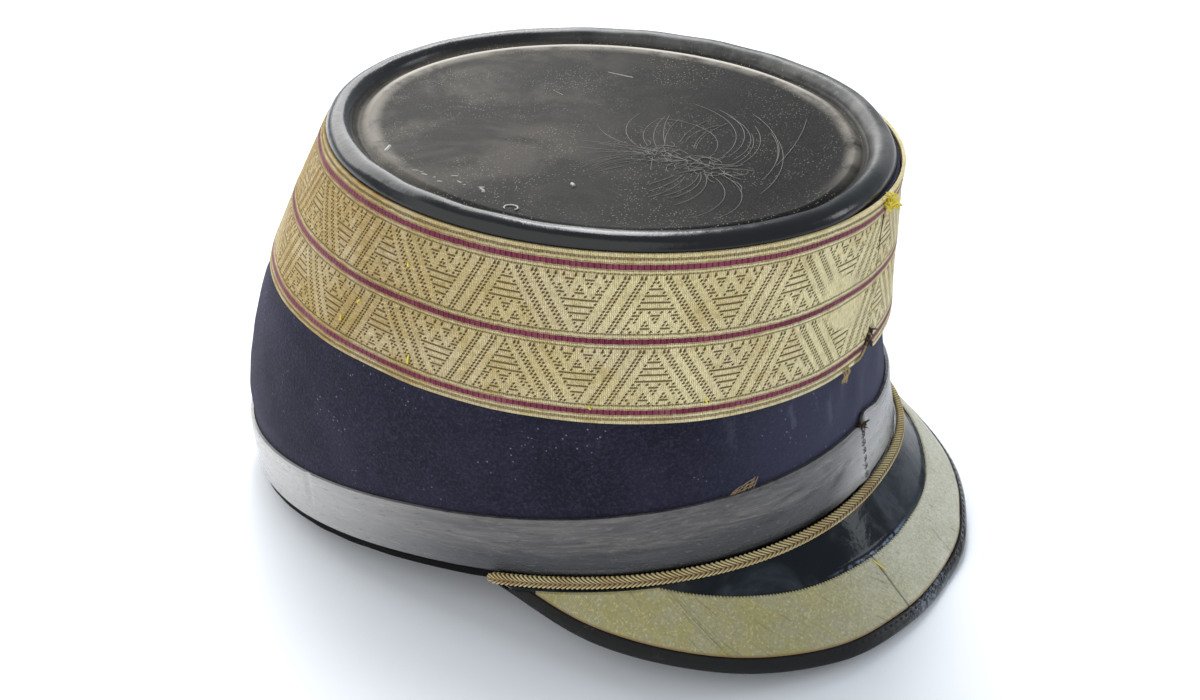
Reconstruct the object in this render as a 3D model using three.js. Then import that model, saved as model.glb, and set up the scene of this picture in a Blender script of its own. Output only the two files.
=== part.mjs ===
import * as THREE from "three";

// A kepi: a navy cloth crown with a dished leather top and a broad gold lace, a leather band,
// and a leather peak with its own lace, binding and cord.
// Millimetres, +Z up, peak towards -Y, the wearer's left at +X.
// It lies on the rear of its rim and on the front edge of its peak.

const GAP = 0.3;
const FULL_TURN = 2 * Math.PI;

// Leather this close to the table is pressed flat on it by the cap's weight.
const PRESSED = { rim: 0.9, peak: 0.55 };

// Crown profiles at the front, back and side, from the band's lower edge to the lace's top edge.
// bow is the bulge backwards from the straight line, and bowLow moves it towards the lower end.
const FRONT = { lowY: -103.3, lowZ: 33.0, topY: -99.3, topZ: 117.7, bow: 3.5, bowLow: 0 };
const BACK = { lowY: 103.0, lowZ: 2.1, topY: 65.8, topZ: 121.2, bow: 11.6, bowLow: 0.8 };
const SIDE = { low: 82.0, top: 73.6, bow: 3.1 };
const SQUARENESS = { low: 2.23, top: 2.0 };

// Layers of the wall. Offsets are outwards from the face of lace and band.
const CLOTH_THICKNESS = 2.5;
const CLOTH_TOP_DROP = 0.9;
const COVER_DEPTH = 1.2;
const LACE = { width: 46.7, back: GAP - COVER_DEPTH, face: 0.1, seam: -0.8 };
const BAND = { width: 17.8, back: GAP - COVER_DEPTH, face: 0.3, seam: -3.3 };

// Edging under the band: a strip folded round the wall's lower edge.
const RIM = { rearDrop: 2.6, frontDrop: 3.8, leather: 0.9, innerHeight: 8.0, rounding: 0.6 };

// Leather top: a rolled rim, a groove inside it and a slightly sagging disc.
// Insets run inwards from the lace's top edge, lifts upwards.
const ROLL = { radius: 3.8, inset: 4.3, endInset: 8.0, steps: 7 };
const GROOVE = { inset: 9.3, lift: 0.1 };
const DISC = { inset: 11.0, lift: 0.5, sag: 0.8, thickness: 2.0, plugInset: 4.4 };
const DISC_RINGS = [0.62, 0.3];

// Outer edge of the peak's binding from the wearer's right corner to the left one.
// The left half is a little narrower than the right one.
const PEAK_EDGE = [
  { x: -81.4, y: -25.2, z: 18.7 },
  { x: -84.0, y: -60.8, z: 13.5 },
  { x: -72.1, y: -93.4, z: 9.0 },
  { x: -49.6, y: -115.7, z: 5.1 },
  { x: -23.7, y: -125.6, z: 2.2 },
  { x: 0.0, y: -128.6, z: 0.5 },
  { x: 21.5, y: -127.2, z: 2.2 },
  { x: 49.2, y: -114.6, z: 5.1 },
  { x: 70.8, y: -90.0, z: 9.0 },
  { x: 83.8, y: -60.3, z: 13.5 },
  { x: 81.4, y: -25.2, z: 18.7 },
];
const PEAK = { cornerAngle: 78.4, footDrop: 1.9, thickness: 1.6, end: 0.955 };
const PEAK_BINDING = { leg: 4.3, leather: 0.8, wall: 1.2, nose: 0.4, noseShare: 0.18, rounding: 1.4, end: 0.94 };
const PEAK_LACE = { fromEdge: 22.2, thickness: 0.7, end: 0.905 };
const CORD = { radius: 2.0, endAngle: 78.3, sides: 8 };

const COLUMNS = 72;
const WALL_LEVELS = 6;
const LACE_LEVELS = 4;
const BAND_LEVELS = 2;
const LENGTH_STEPS = 12;
const PEAK_COLUMNS = 44;
const CORD_COLUMNS = 52;
const STEP = 1e-3;

const { lerp, degToRad, clamp } = THREE.MathUtils;

function power(value, squareness) {
  return Math.sign(value) * Math.abs(value) ** (2 / squareness);
}

// Rises from 0 at both ends of the wall to 1 in its middle.
function swell(share) {
  return 4 * share * (1 - share);
}

function profileY(profile, share) {
  const bulge = profile.bow * swell(share) * (1 + profile.bowLow * (0.5 - share));
  return lerp(profile.lowY, profile.topY, share) + bulge;
}

// Point on the crown's face. The angle starts at the front and turns towards the wearer's left.
function crownPoint(angle, share) {
  const squareness = lerp(SQUARENESS.low, SQUARENESS.top, share);
  const halfWidth = lerp(SIDE.low, SIDE.top, share) + SIDE.bow * swell(share);
  const backward = (1 - power(Math.cos(angle), squareness)) / 2;
  const frontZ = lerp(FRONT.lowZ, FRONT.topZ, share);
  const backZ = lerp(BACK.lowZ, BACK.topZ, share);
  return new THREE.Vector3(
    halfWidth * power(Math.sin(angle), squareness),
    lerp(profileY(FRONT, share), profileY(BACK, share), backward),
    lerp(frontZ, backZ, backward),
  );
}

function wallLength(angle) {
  let length = 0;
  for (let i = 0; i < LENGTH_STEPS; i++) {
    length += crownPoint(angle, i / LENGTH_STEPS).distanceTo(crownPoint(angle, (i + 1) / LENGTH_STEPS));
  }
  return length;
}

function crownNormal(angle, share) {
  const along = crownPoint(angle + STEP, share).sub(crownPoint(angle - STEP, share));
  const upwards = crownPoint(angle, share + STEP).sub(crownPoint(angle, share - STEP));
  return along.cross(upwards).normalize();
}

// Point of the wall at a height along it above the band's lower edge, moved outwards by an offset.
function wallPoint(angle, height, offset) {
  const share = height / wallLength(angle);
  return crownPoint(angle, share).addScaledVector(crownNormal(angle, share), offset);
}

function solid(positions, faces) {
  const volume = faces.reduce((sum, [a, b, c]) => {
    return sum + positions[a].dot(new THREE.Vector3().crossVectors(positions[b], positions[c]));
  }, 0);
  const outward = volume > 0 ? faces : faces.map(([a, b, c]) => [a, c, b]);
  const geometry = new THREE.BufferGeometry().setFromPoints(positions);
  geometry.setIndex(outward.flat());
  geometry.computeVertexNormals();
  return geometry;
}

// A closed section carried through stations, either round a ring or between two capped ends.
// section(station) lists the corners in section coordinates and place(station, corner) sets them.
function sweep(stations, section, place, ring) {
  const loops = stations.map(section);
  const size = loops[0].length;
  const positions = stations.flatMap((station, i) => loops[i].map((corner) => place(station, corner)));
  const faces = [];
  const spans = ring ? stations.length : stations.length - 1;
  for (let i = 0; i < spans; i++) {
    const here = i * size;
    const next = ((i + 1) % stations.length) * size;
    for (let j = 0; j < size; j++) {
      const k = (j + 1) % size;
      faces.push([here + j, next + j, next + k], [here + j, next + k, here + k]);
    }
  }
  if (!ring) {
    const last = (stations.length - 1) * size;
    const turns = (loop) => THREE.ShapeUtils.triangulateShape(loop, []);
    const sense = THREE.ShapeUtils.isClockWise(loops[0]);
    for (const [start, flip] of [[0, sense], [last, !sense]]) {
      for (const [a, b, c] of turns(start ? loops.at(-1) : loops[0])) {
        faces.push(flip ? [start + a, start + c, start + b] : [start + a, start + b, start + c]);
      }
    }
  }
  return solid(positions, faces);
}

const corner = (x, y) => new THREE.Vector2(x, y);

function steps(from, to, count) {
  return Array.from({ length: count + 1 }, (_, i) => lerp(from, to, i / count));
}

const ringAngles = Array.from({ length: COLUMNS }, (_, i) => (i / COLUMNS) * FULL_TURN);

// Angles of a strip that goes round once and ends a small gap short of its own start.
function stripAngles(seamDegrees) {
  const radius = -FRONT.topY;
  const seam = degToRad(seamDegrees);
  const start = seam + GAP / 2 / radius;
  const inner = ringAngles.map((angle) => seam + THREE.MathUtils.euclideanModulo(angle - seam, FULL_TURN));
  const end = seam + FULL_TURN - GAP / 2 / radius;
  return [start, ...inner.sort((a, b) => a - b), end];
}

// Section of a layer of the wall: x is the offset, y the height.
function layerSection(heights, back, face) {
  return [
    ...heights.map((height) => corner(face, height)),
    ...heights.toReversed().map((height) => corner(back, height)),
  ];
}

const onWall = (angle, { x, y }) => wallPoint(angle, y, x);

function pressOnTable(point, reach) {
  return point.z < reach ? point.setZ(0) : point;
}

function rimDrop(angle) {
  return lerp(RIM.rearDrop, RIM.frontDrop, (1 + Math.cos(angle)) / 2);
}

function makeCrownWall() {
  const face = -COVER_DEPTH;
  const section = (angle) => {
    const low = RIM.leather + GAP - rimDrop(angle);
    const high = wallLength(angle) - CLOTH_TOP_DROP;
    const heights = [low, RIM.innerHeight, ...steps(BAND.width, high, WALL_LEVELS)];
    return layerSection(heights, face - CLOTH_THICKNESS, face);
  };
  return sweep(ringAngles, section, onWall, true);
}

function makeCrownLace() {
  const section = (angle) => {
    const top = wallLength(angle);
    return layerSection(steps(top - LACE.width, top, LACE_LEVELS), LACE.back, LACE.face);
  };
  return sweep(stripAngles(LACE.seam), section, onWall, false);
}

function makeLeatherBand() {
  const section = () => layerSection(steps(0, BAND.width, BAND_LEVELS), BAND.back, BAND.face);
  return sweep(stripAngles(BAND.seam), section, onWall, false);
}

function makeRimBinding() {
  const innerBack = -COVER_DEPTH - CLOTH_THICKNESS - GAP;
  const innerFace = innerBack - RIM.leather;
  const outerBack = -RIM.leather;
  const section = (angle) => {
    const bottom = -rimDrop(angle);
    const fold = bottom + RIM.leather;
    return [
      corner(0, -GAP),
      corner(0, bottom + RIM.rounding),
      corner(-RIM.rounding, bottom),
      corner(innerFace + RIM.rounding, bottom),
      corner(innerFace, bottom + RIM.rounding),
      corner(innerFace, RIM.innerHeight),
      corner(innerBack, RIM.innerHeight),
      corner(innerBack, fold),
      corner(outerBack, fold),
      corner(outerBack, -GAP),
    ];
  };
  return sweep(ringAngles, section, (angle, point) => pressOnTable(onWall(angle, point), PRESSED.rim), true);
}

// Point over the crown's top: inset inwards from the lace's top edge and lifted.
function topPoint(angle, inset, lift) {
  const edge = crownPoint(angle, 1);
  const along = crownPoint(angle + STEP, 1).sub(crownPoint(angle - STEP, 1));
  const inwards = new THREE.Vector3(-along.y, along.x, 0).normalize();
  return edge.addScaledVector(inwards, inset).add(new THREE.Vector3(0, 0, lift));
}

function makeCrownTop() {
  const rimStart = ROLL.inset - Math.sqrt(ROLL.radius ** 2 - GAP ** 2);
  const insets = [];
  for (let i = 0; i <= ROLL.steps; i++) {
    const from = Math.acos((ROLL.inset - rimStart) / ROLL.radius);
    const to = Math.acos((ROLL.inset - ROLL.endInset) / ROLL.radius);
    const turn = lerp(from, to, i / ROLL.steps);
    insets.push(corner(ROLL.inset - ROLL.radius * Math.cos(turn), ROLL.radius * Math.sin(turn)));
  }
  insets.push(corner(GROOVE.inset, GROOVE.lift), corner(DISC.inset, DISC.lift));
  const under = DISC.lift - DISC.thickness - DISC.sag;
  const middle = new THREE.Vector3(0, (FRONT.topY + BACK.topY) / 2, (FRONT.topZ + BACK.topZ) / 2);
  const rings = insets.map(({ x, y }) => ringAngles.map((angle) => topPoint(angle, x, y)));
  for (const share of DISC_RINGS) {
    const lift = DISC.lift - DISC.sag * (1 - share ** 2);
    rings.push(ringAngles.map((angle) => {
      const edge = topPoint(angle, DISC.inset, 0);
      return middle.clone().lerp(edge, share).add(new THREE.Vector3(0, 0, lift));
    }));
  }
  const plug = [corner(DISC.plugInset, under), corner(DISC.plugInset, GAP)];
  const lower = plug.map(({ x, y }) => ringAngles.map((angle) => topPoint(angle, x, y)));
  const all = [...lower, ...rings];
  const positions = all.flat();
  const faces = [];
  for (let i = 0; i < all.length - 1; i++) {
    for (let j = 0; j < COLUMNS; j++) {
      const k = (j + 1) % COLUMNS;
      const here = i * COLUMNS;
      const next = here + COLUMNS;
      faces.push([here + j, next + j, next + k], [here + j, next + k, here + k]);
    }
  }
  const bottomCentre = positions.length;
  const topCentre = bottomCentre + 1;
  const lastRing = (all.length - 1) * COLUMNS;
  for (let j = 0; j < COLUMNS; j++) {
    const k = (j + 1) % COLUMNS;
    faces.push([bottomCentre, j, k], [topCentre, lastRing + k, lastRing + j]);
  }
  positions.push(middle.clone().add(new THREE.Vector3(0, 0, under)));
  positions.push(middle.clone().add(new THREE.Vector3(0, 0, DISC.lift - DISC.sag)));
  return solid(positions, faces);
}

const peakEdge = new THREE.CatmullRomCurve3(
  PEAK_EDGE.map(({ x, y, z }) => new THREE.Vector3(x, y, z)), false, "catmullrom",
);

function peakFoot(share) {
  return wallPoint(share * degToRad(PEAK.cornerAngle), -PEAK.footDrop, GAP);
}

// Straight line down the peak at a share of the way from the tip (0) to a corner (-1 or 1).
function peakLine(share) {
  const angle = share * degToRad(PEAK.cornerAngle);
  const foot = peakFoot(share);
  const edge = peakEdge.getPoint((1 + share) / 2);
  const width = foot.distanceTo(edge);
  const down = edge.clone().sub(foot).normalize();
  const onward = wallPoint(angle + STEP, -PEAK.footDrop, GAP).sub(foot);
  const up = onward.cross(down).normalize().negate();
  const outward = crownNormal(angle, -PEAK.footDrop / wallLength(angle));
  return { foot, width, down, up, outward };
}

function peakPlace(share, { x, y }) {
  const { foot, down, up } = peakLine(share);
  return pressOnTable(foot.addScaledVector(down, x).addScaledVector(up, y), PRESSED.peak);
}

function makePeak() {
  const section = (share) => {
    const { width, down, up, outward } = peakLine(share);
    const edge = width - PEAK_BINDING.wall - GAP;
    const slant = PEAK.thickness * up.dot(outward) / down.dot(outward);
    return [corner(0, 0), corner(edge, 0), corner(edge, -PEAK.thickness), corner(slant, -PEAK.thickness)];
  };
  return sweep(steps(-PEAK.end, PEAK.end, PEAK_COLUMNS), section, peakPlace, false);
}

// Where the cord's middle runs on a line of the peak, clear of band and peak.
// The line starts a gap away from the band's face.
function cordSeat(share) {
  const { down, up, outward } = peakLine(share);
  const lift = CORD.radius + GAP;
  const reach = BAND.face + CORD.radius;
  return corner((reach - lift * up.dot(outward)) / down.dot(outward), lift);
}

// Distance down the peak at which the cord clears a layer of the given height.
function cordClearance(share, layer) {
  const seat = cordSeat(share);
  return seat.x + Math.sqrt(CORD.radius ** 2 - (seat.y - layer) ** 2) + GAP;
}

function makePeakBinding() {
  const top = GAP + PEAK_BINDING.leather;
  const underside = -PEAK.thickness - GAP;
  const bottom = underside - PEAK_BINDING.leather;
  const section = (share) => {
    const { width } = peakLine(share);
    const leg = Math.max(width - PEAK_BINDING.leg, cordClearance(share, top));
    const inner = width - PEAK_BINDING.wall;
    const shoulder = width - PEAK_BINDING.rounding;
    const nose = width - PEAK_BINDING.nose;
    return [
      corner(leg, GAP),
      corner(leg, top),
      corner(Math.max(shoulder, leg + STEP), top),
      corner(nose, lerp(top, bottom, PEAK_BINDING.noseShare)),
      corner(width, (top + bottom) / 2),
      corner(nose, lerp(bottom, top, PEAK_BINDING.noseShare)),
      corner(shoulder, bottom),
      corner(leg, bottom),
      corner(leg, underside),
      corner(inner, underside),
      corner(inner, GAP),
    ];
  };
  return sweep(steps(-PEAK_BINDING.end, PEAK_BINDING.end, PEAK_COLUMNS), section, peakPlace, false);
}

function makePeakLace() {
  const top = GAP + PEAK_LACE.thickness;
  const section = (share) => {
    const { width } = peakLine(share);
    const inner = Math.max(width - PEAK_LACE.fromEdge, cordClearance(share, top));
    const outer = width - PEAK_BINDING.leg - GAP;
    return [corner(inner, GAP), corner(outer, GAP), corner(outer, top), corner(inner, top)];
  };
  return sweep(steps(-PEAK_LACE.end, PEAK_LACE.end, PEAK_COLUMNS), section, peakPlace, false);
}

function makePeakCord() {
  const reach = CORD.endAngle / PEAK.cornerAngle;
  const middles = steps(-reach, reach, CORD_COLUMNS).map((share) => {
    const held = clamp(share, -PEAK.end, PEAK.end);
    const seat = cordSeat(held);
    const { down, up } = peakLine(held);
    return peakFoot(share).addScaledVector(down, seat.x).addScaledVector(up, seat.y);
  });
  const path = new THREE.CatmullRomCurve3(middles);
  const outline = new THREE.Shape();
  outline.absarc(0, 0, CORD.radius, 0, FULL_TURN);
  return new THREE.ExtrudeGeometry(outline, {
    steps: CORD_COLUMNS,
    curveSegments: CORD.sides,
    bevelEnabled: false,
    extrudePath: path,
  });
}

function piece(name, geometry, color, roughness, metalness) {
  const mesh = new THREE.Mesh(geometry, new THREE.MeshStandardMaterial({ color, roughness, metalness }));
  mesh.name = name;
  return mesh;
}

const cap = new THREE.Group();
cap.name = "cap";
cap.add(
  piece("crown_wall", makeCrownWall(), 0x191a30, 0.95, 0),
  piece("crown_top", makeCrownTop(), 0x242326, 0.35, 0),
  piece("crown_lace", makeCrownLace(), 0x9c8b5c, 0.6, 0.25),
  piece("leather_band", makeLeatherBand(), 0x35353a, 0.3, 0),
  piece("rim_binding", makeRimBinding(), 0x1d1e22, 0.4, 0),
  piece("peak", makePeak(), 0x12161f, 0.2, 0),
  piece("peak_lace", makePeakLace(), 0xa39b72, 0.5, 0.3),
  piece("peak_binding", makePeakBinding(), 0x141518, 0.35, 0),
  piece("peak_cord", makePeakCord(), 0x94794a, 0.6, 0.15),
);

// The middle of the whole cap's length stands over the origin, on the table.
const box = new THREE.Box3().setFromObject(cap, true);
cap.position.set(0, -(box.min.y + box.max.y) / 2, -box.min.z);

const kepi = new THREE.Group();
kepi.name = "kepi";
kepi.add(cap);
export default kepi;
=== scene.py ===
"""Looks of a kepi: navy crown, dished leather top, gold lace, leather band and a laced peak.

Shapes are worked out in millimetres in the CAD part's own numbers and moved to the shared frame at the end.
"""

import bpy
import numpy as np
from mathutils import Matrix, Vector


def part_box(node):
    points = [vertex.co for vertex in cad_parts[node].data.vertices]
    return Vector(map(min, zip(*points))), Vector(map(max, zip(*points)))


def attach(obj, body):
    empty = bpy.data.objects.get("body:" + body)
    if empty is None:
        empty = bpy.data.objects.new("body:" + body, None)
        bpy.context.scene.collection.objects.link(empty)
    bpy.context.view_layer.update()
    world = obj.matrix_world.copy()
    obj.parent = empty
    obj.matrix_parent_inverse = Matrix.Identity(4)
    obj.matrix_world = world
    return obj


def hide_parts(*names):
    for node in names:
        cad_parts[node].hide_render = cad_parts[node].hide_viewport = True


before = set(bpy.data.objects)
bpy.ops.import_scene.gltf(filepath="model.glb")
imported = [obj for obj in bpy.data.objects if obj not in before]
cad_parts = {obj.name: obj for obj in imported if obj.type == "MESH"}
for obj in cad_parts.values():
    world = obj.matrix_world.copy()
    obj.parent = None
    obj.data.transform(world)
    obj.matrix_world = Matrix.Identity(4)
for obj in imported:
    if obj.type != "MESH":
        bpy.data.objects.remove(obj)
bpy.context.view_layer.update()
SEED = 11
random = np.random.default_rng(SEED)

MM = 0.001
FULL_TURN = 2 * np.pi
STEP = 1e-3
GAP = 0.3
THREAD_SIDES = 5
THREAD_TIP = 0.15
THREAD_STATIONS = 14

# Crown profiles at the front, back and side, from the band's lower edge to the lace's top edge.
FRONT = {"low_y": -103.3, "low_z": 33.0, "top_y": -99.3, "top_z": 117.7, "bow": 3.5, "bow_low": 0.0}
BACK = {"low_y": 103.0, "low_z": 2.1, "top_y": 65.8, "top_z": 121.2, "bow": 11.6, "bow_low": 0.8}
SIDE = {"low": 82.0, "top": 73.6, "bow": 3.1}
SQUARENESS = {"low": 2.23, "top": 2.0}
LENGTH_STEPS = 12
# Specular levels of the two black edgings.
SHINE = {"rim": 0.08, "peak": 0.4}
# Level direction away from the camera, along which the top's painted reflection, shade and highlight, and
# its wear and dust, are laid out.
AWAY = {"x": 0.862, "y": 0.506}

# Layers of the wall. Offsets are outwards from the face of lace and band, seams in degrees.
CLOTH = {"face": -1.2, "inside": -3.7, "top_drop": 0.9}
LACE = {"width": 46.7, "back": -0.9, "face": 0.1, "seam": -0.8}
BAND = {"width": 17.8, "back": -0.9, "face": 0.3, "seam": -3.3}
# The cloth is held near lace and band and waves freely farther from them. It swells at the rear right.
CLOTH_FREE = {"held": 1, "free": 9, "wave_limit": 0.6}
SWELLING = {"rise": 0.8, "angle": -150, "from": 0.75}
# Waves of surfaces in rows: waves along, waves across, how many sines, height.
CLOTH_WAVES = ((14, 0.12, 8, 0.28), (40, 0.5, 8, 0.08))
TOP_LUMPS = ((30, 0.3, 8, 0.08),)
LACE_JAGS = ((5.0, 1, 5, 0.5),)
LACE_WAVES = ((0.3, 0.2, 6, 0.1),)
BAND_WRINKLES = ((9, 1.6, 10, 0.07), (26, 0.5, 6, 0.06))
RIM_BUMPS = ((60, 0.6, 8, 0.08),)
PEAK_WAVES = ((9, 0.12, 6, 0.08),)
PUCKER_WAVES = ((60, 0.2, 6, 0.4),)
BINDING_BUMPS = ((0.8, 1.0, 10, 0.07),)
THREAD_WANDER = ((0.25, 0.25, 6, 0.35),)
PEAK_LACE_WAVES = ((0.5, 0.3, 8, 0.08),)
# Points of the grids: round or along a piece, and over the faces of its section. Hub and under are shares
# of the way out from the top's middle, and the disc's waves settle in after a row.
CLOTH_GRID = {"round": 360, "outside": 84, "inside": 16}
TOP_GRID = {"round": 360, "roll": 26, "slope": 30, "disc": 76, "hub": 0.004, "under": 0.6, "settle": 30}
BAND_GRID = {"along": 900, "face": 36, "back": 8}
RIM_GRID = {"round": 720, "bow": 21, "side": 6, "bumpy": 12}
PEAK_GRID = {"along": 260, "over": 84, "under": 12}
BINDING_GRID = {"along": 1100, "nose": 17, "leg": 12, "under_step": 3}
PEAK_LACE_GRID = {"along": 1300, "top": 54, "back": 4}
CORD_GRID = {"along": 1340, "around": 54}
SEAM_STEPS = 4001

# Upright folds of the cloth at the front: angle, half width in degrees, rise.
# They lean by degrees for each millimetre of height.
FRONT_FOLDS = (
    (-2.5, 1.8, 0.5),
    (-6.5, 2.2, -0.4),
    (-14.0, 3.0, 0.35),
    (4.0, 2.5, -0.35),
)
FOLD_LEAN = 0.06
# Creases along the leather band: angle, height, rise per millimetre, half length, half width, depth.
BAND_CREASES = (
    (-8.5, 11.0, 0.10, 4.0, 0.8, 0.45),
    (-12.0, 8.5, 0.30, 5.0, 0.8, 0.55),
    (-15.0, 13.5, -0.15, 5.0, 0.7, 0.40),
    (-19.0, 10.0, 0.18, 6.0, 0.8, 0.50),
    (-24.0, 12.5, 0.10, 7.0, 0.7, 0.40),
    (-29.0, 8.0, 0.08, 8.0, 0.8, 0.35),
    (-37.0, 11.0, -0.06, 8.0, 0.7, 0.25),
    (-52.0, 6.0, 0.05, 9.0, 0.8, 0.22),
)
SIDE_CREASE = {"angle": -109.5, "depth": 0.5, "half": 1.1, "from": 5, "full": 9}
# Edges of the band, its rounded corners, the end that stands higher and the curl of both ends.
BAND_EDGE = {"drop": 0.35, "low": 0.5, "top": 1.2, "calm": 2}
BAND_END = {"rounding": 3.0, "corner": 0.8, "rise": 2.6, "rise_length": 14, "curl": 0.5, "curl_length": 5}
RIM = {"rear_drop": 2.6, "front_drop": 3.8, "leather": 0.9, "inner_height": 8.0, "bow": 1.3,
       "bow_width": 3.2, "bow_depth": 2.4}

# Leather top: insets run inwards from the lace's top edge, lifts upwards.
ROLL = {"radius": 3.8, "inset": 4.3, "end_inset": 8.0, "smooth_to": 0.6, "lumpy_from": 2.5}
DISC = {"lift": 0.5, "sag": 0.8, "thickness": 2.0, "plug_inset": 4.4, "skirt_inset": 2.45}
# The rolled rim is drawn inwards near the front, at an angle in degrees.
DRAWN_IN = {"depth": 1.7, "angle": 16, "from": 0.8, "inner": 20, "outer": 8}
DISC_SWELL = {"waves": 0.09, "sines": 8, "height": 0.22}
DISC_GRAIN = {"waves": 0.4, "sines": 8, "height": 0.03}
# Curve from the roll's groove to the disc: inset, lift.
SLOPE = np.array([
    (9.4, -0.1),
    (10.8, 0.45),
    (12.1, 0.95),
    (13.4, 0.75),
    (17.0, 0.4),
    (22.0, 0.25),
])

# Outer edge of the peak's binding from the wearer's right corner to the left one: x, y, z.
PEAK_EDGE = np.array([
    (-81.4, -25.2, 18.7),
    (-84.0, -60.8, 13.5),
    (-72.1, -93.4, 9.0),
    (-49.6, -115.7, 5.1),
    (-23.7, -125.6, 2.2),
    (0.0, -128.6, 0.5),
    (21.5, -127.2, 2.2),
    (49.2, -114.6, 5.1),
    (70.8, -90.0, 9.0),
    (83.8, -60.3, 13.5),
    (81.4, -25.2, 18.7),
])
PEAK = {"corner_angle": 78.4, "foot_drop": 1.9, "thickness": 1.6, "end": 0.955}
PEAK_BINDING = {"leg": 4.3, "leather": 0.8, "wall": 1.2, "end": 0.985, "under_cord": 0.93,
                "inner_share": 0.72, "shoulder": 2.0, "least_leg": 0.1, "nose": 2.3, "lip": 0.25,
                "lip_width": 0.5}
# The binding is fuller underneath between shares of the way from its middle to a corner.
FULLER = {"depth": 0.8, "from": 0.45, "full": 0.75, "less": 0.88, "to": 0.98}
# Stitch dents along the binding: they are faint on the wearer's right and strong from the middle on.
STITCH_DENT = {"depth": 0.32, "from_leg": 1.1, "far": 0.45, "close": 0.1, "pitch": 2.4, "low": 0.3,
               "high": 0.9, "faint": 0.12, "faint_to": -0.6, "strong_from": -0.25}
PEAK_LACE = {"from_edge": 22.2, "thickness": 0.7, "end": 0.905}
PEAK_LACE_EDGE = {"border_from": 0.9, "border_full": 0.2, "border": 0.8, "inner_drop": 0.25,
                  "inner_width": 0.7, "outer_drop": 0.15, "outer_width": 0.6, "loop": 0.6,
                  "loop_phase": 0.4}
# Threads cross the peak's lace at a slant: pitch along the edge and shift per millimetre across.
PEAK_THREAD = {"pitch": 1.05, "slant": 0.75, "relief": 0.1, "level": 0.6}
# Joints across the peak's lace. Shares run from -1 at the wearer's right corner to 1 at the left one.
JOINT = {"share": -0.168, "half": 0.4, "depth": 0.25, "tone": 0.7}
SECOND_JOINT = {"share": 0.065, "lean": 0.02, "lean_from": 16, "lean_to": 3, "half": 0.35, "depth": 0.5,
                "from": 17, "full": 14}
# Scratches side by side across the peak's lace: shift along the edge, depth.
PEAK_SCRATCHES = ((-1.3, 0.35), (0.0, 0.6), (0.8, 0.45), (2.2, 0.25))
SCRATCH_LINE = {"share": -0.632, "lean": 0.0031, "level": 20, "half": 0.2, "from": 24, "full": 20}
# Puckered ridge of leather beside the peak's lace, round the middle of the peak.
PUCKER = {"from_lace": 1.1, "half": 0.8, "rise": 0.45, "to": 0.5, "full": 0.3}
CORD = {"radius": 2.0, "end_angle": 78.3}

# Braid on the peak's foot: half sizes of its section, the valley between its two ridges and their
# strands.
BRAID = {"half_width": 1.55, "half_height": 1.2, "sink": 0.65, "shift": -0.3, "valley": 0.22,
         "waist": 0.5, "pitch": 1.34, "slant": 1.55, "relief": 0.34, "taper": 2.5, "waist_reach": 0.45,
         "cross": 0.06, "end_size": 0.6, "level": 0.7, "valley_edge": 0.2}

# Repeat of the crown lace, charted. Each row lists the pits of an upright triangle
# as distances in threads from its middle, from the apex down.
TRIANGLE_ROWS = (
    (0,),
    (1,),
    (2,),
    (0, 1, 2, 3),
    (4,),
    (0, 1, 2, 3, 4, 5),
    (6,),
    (0, 1, 2, 3, 4, 5, 6, 7),
    (8,),
    (0, 1, 2, 3, 4, 5, 6, 7, 8, 9),
    (3, 7, 10),
    (0, 1, 2, 8, 9, 10, 11),
    (1, 9, 11, 12),
    (0, 5, 10, 13),
    (4, 6, 14),
    (3, 4, 5, 6, 7, 13, 15),
    (2, 8, 12, 16),
)
# Dotted double lines beside the triangle start at these distances and run outwards a thread a row.
LINE_STARTS = (5, 7, 13, 15)
REPEAT = {"threads": 74, "length": 37.2, "angle": -51.5}
ROW_PITCH = 0.893
STRIPES = {"count": 3, "first": 3.3, "pitch": 20.05, "to_chart": 3.1, "half": 0.73, "groove": 1.95}
# Rows of points across the lace: under its top edge, round a stripe's middle and above its lower edge.
EDGE_ROWS = (0.0, 0.5, 1.0)
STRIPE_ROWS = (-STRIPES["groove"], -1.5, -0.8, 0, 0.8, 1.5, STRIPES["groove"])
LOWER_ROW = 46.1
# Dark lines of the lace: beside a stripe's middle, and depths below the top edge.
LACE_LINES = {"edge": 0.95, "selvedge": 1.0, "lower": 45.75}
PIT = {"depth": 0.2, "joined": 0.4}
# Raised and sunk lines of the lace: middle, distances where each fades out and is full, height.
RAISED_LINES = ((0.0, 1.0, 0.6, 0.12), (1.5, 0.45, 0.1, 0.1))
SUNK_LINES = ((STRIPES["groove"], 0.3, 0.05, 0.2),)
SUNK_SELVEDGE = ((1.05, 0.15, 0.0, 0.12),)
# Lower corners torn off at the lace's seam: depth of the cut, where it starts and is full along the lace.
TEAR = {"end": (6.5, 7.0, 1.0), "start": (3.0, 4.0, 0.5), "jagged_from": 0.2}
# The lace stands off the wall near an angle in degrees, more so in its lower part.
STANDING_OFF = {"angle": 26, "from": 0.8, "least": 0.2, "more": 0.9, "above": 4, "below": 20, "edge": 3}

CAMERA = {"azimuth": -59.617, "elevation": 31.045, "roll": -0.339, "distance": 401.291,
          "aim": (-33.217, -32.534, 68.596), "lens": 43.492, "sensor": 36.0, "clip": 0.01}

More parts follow.
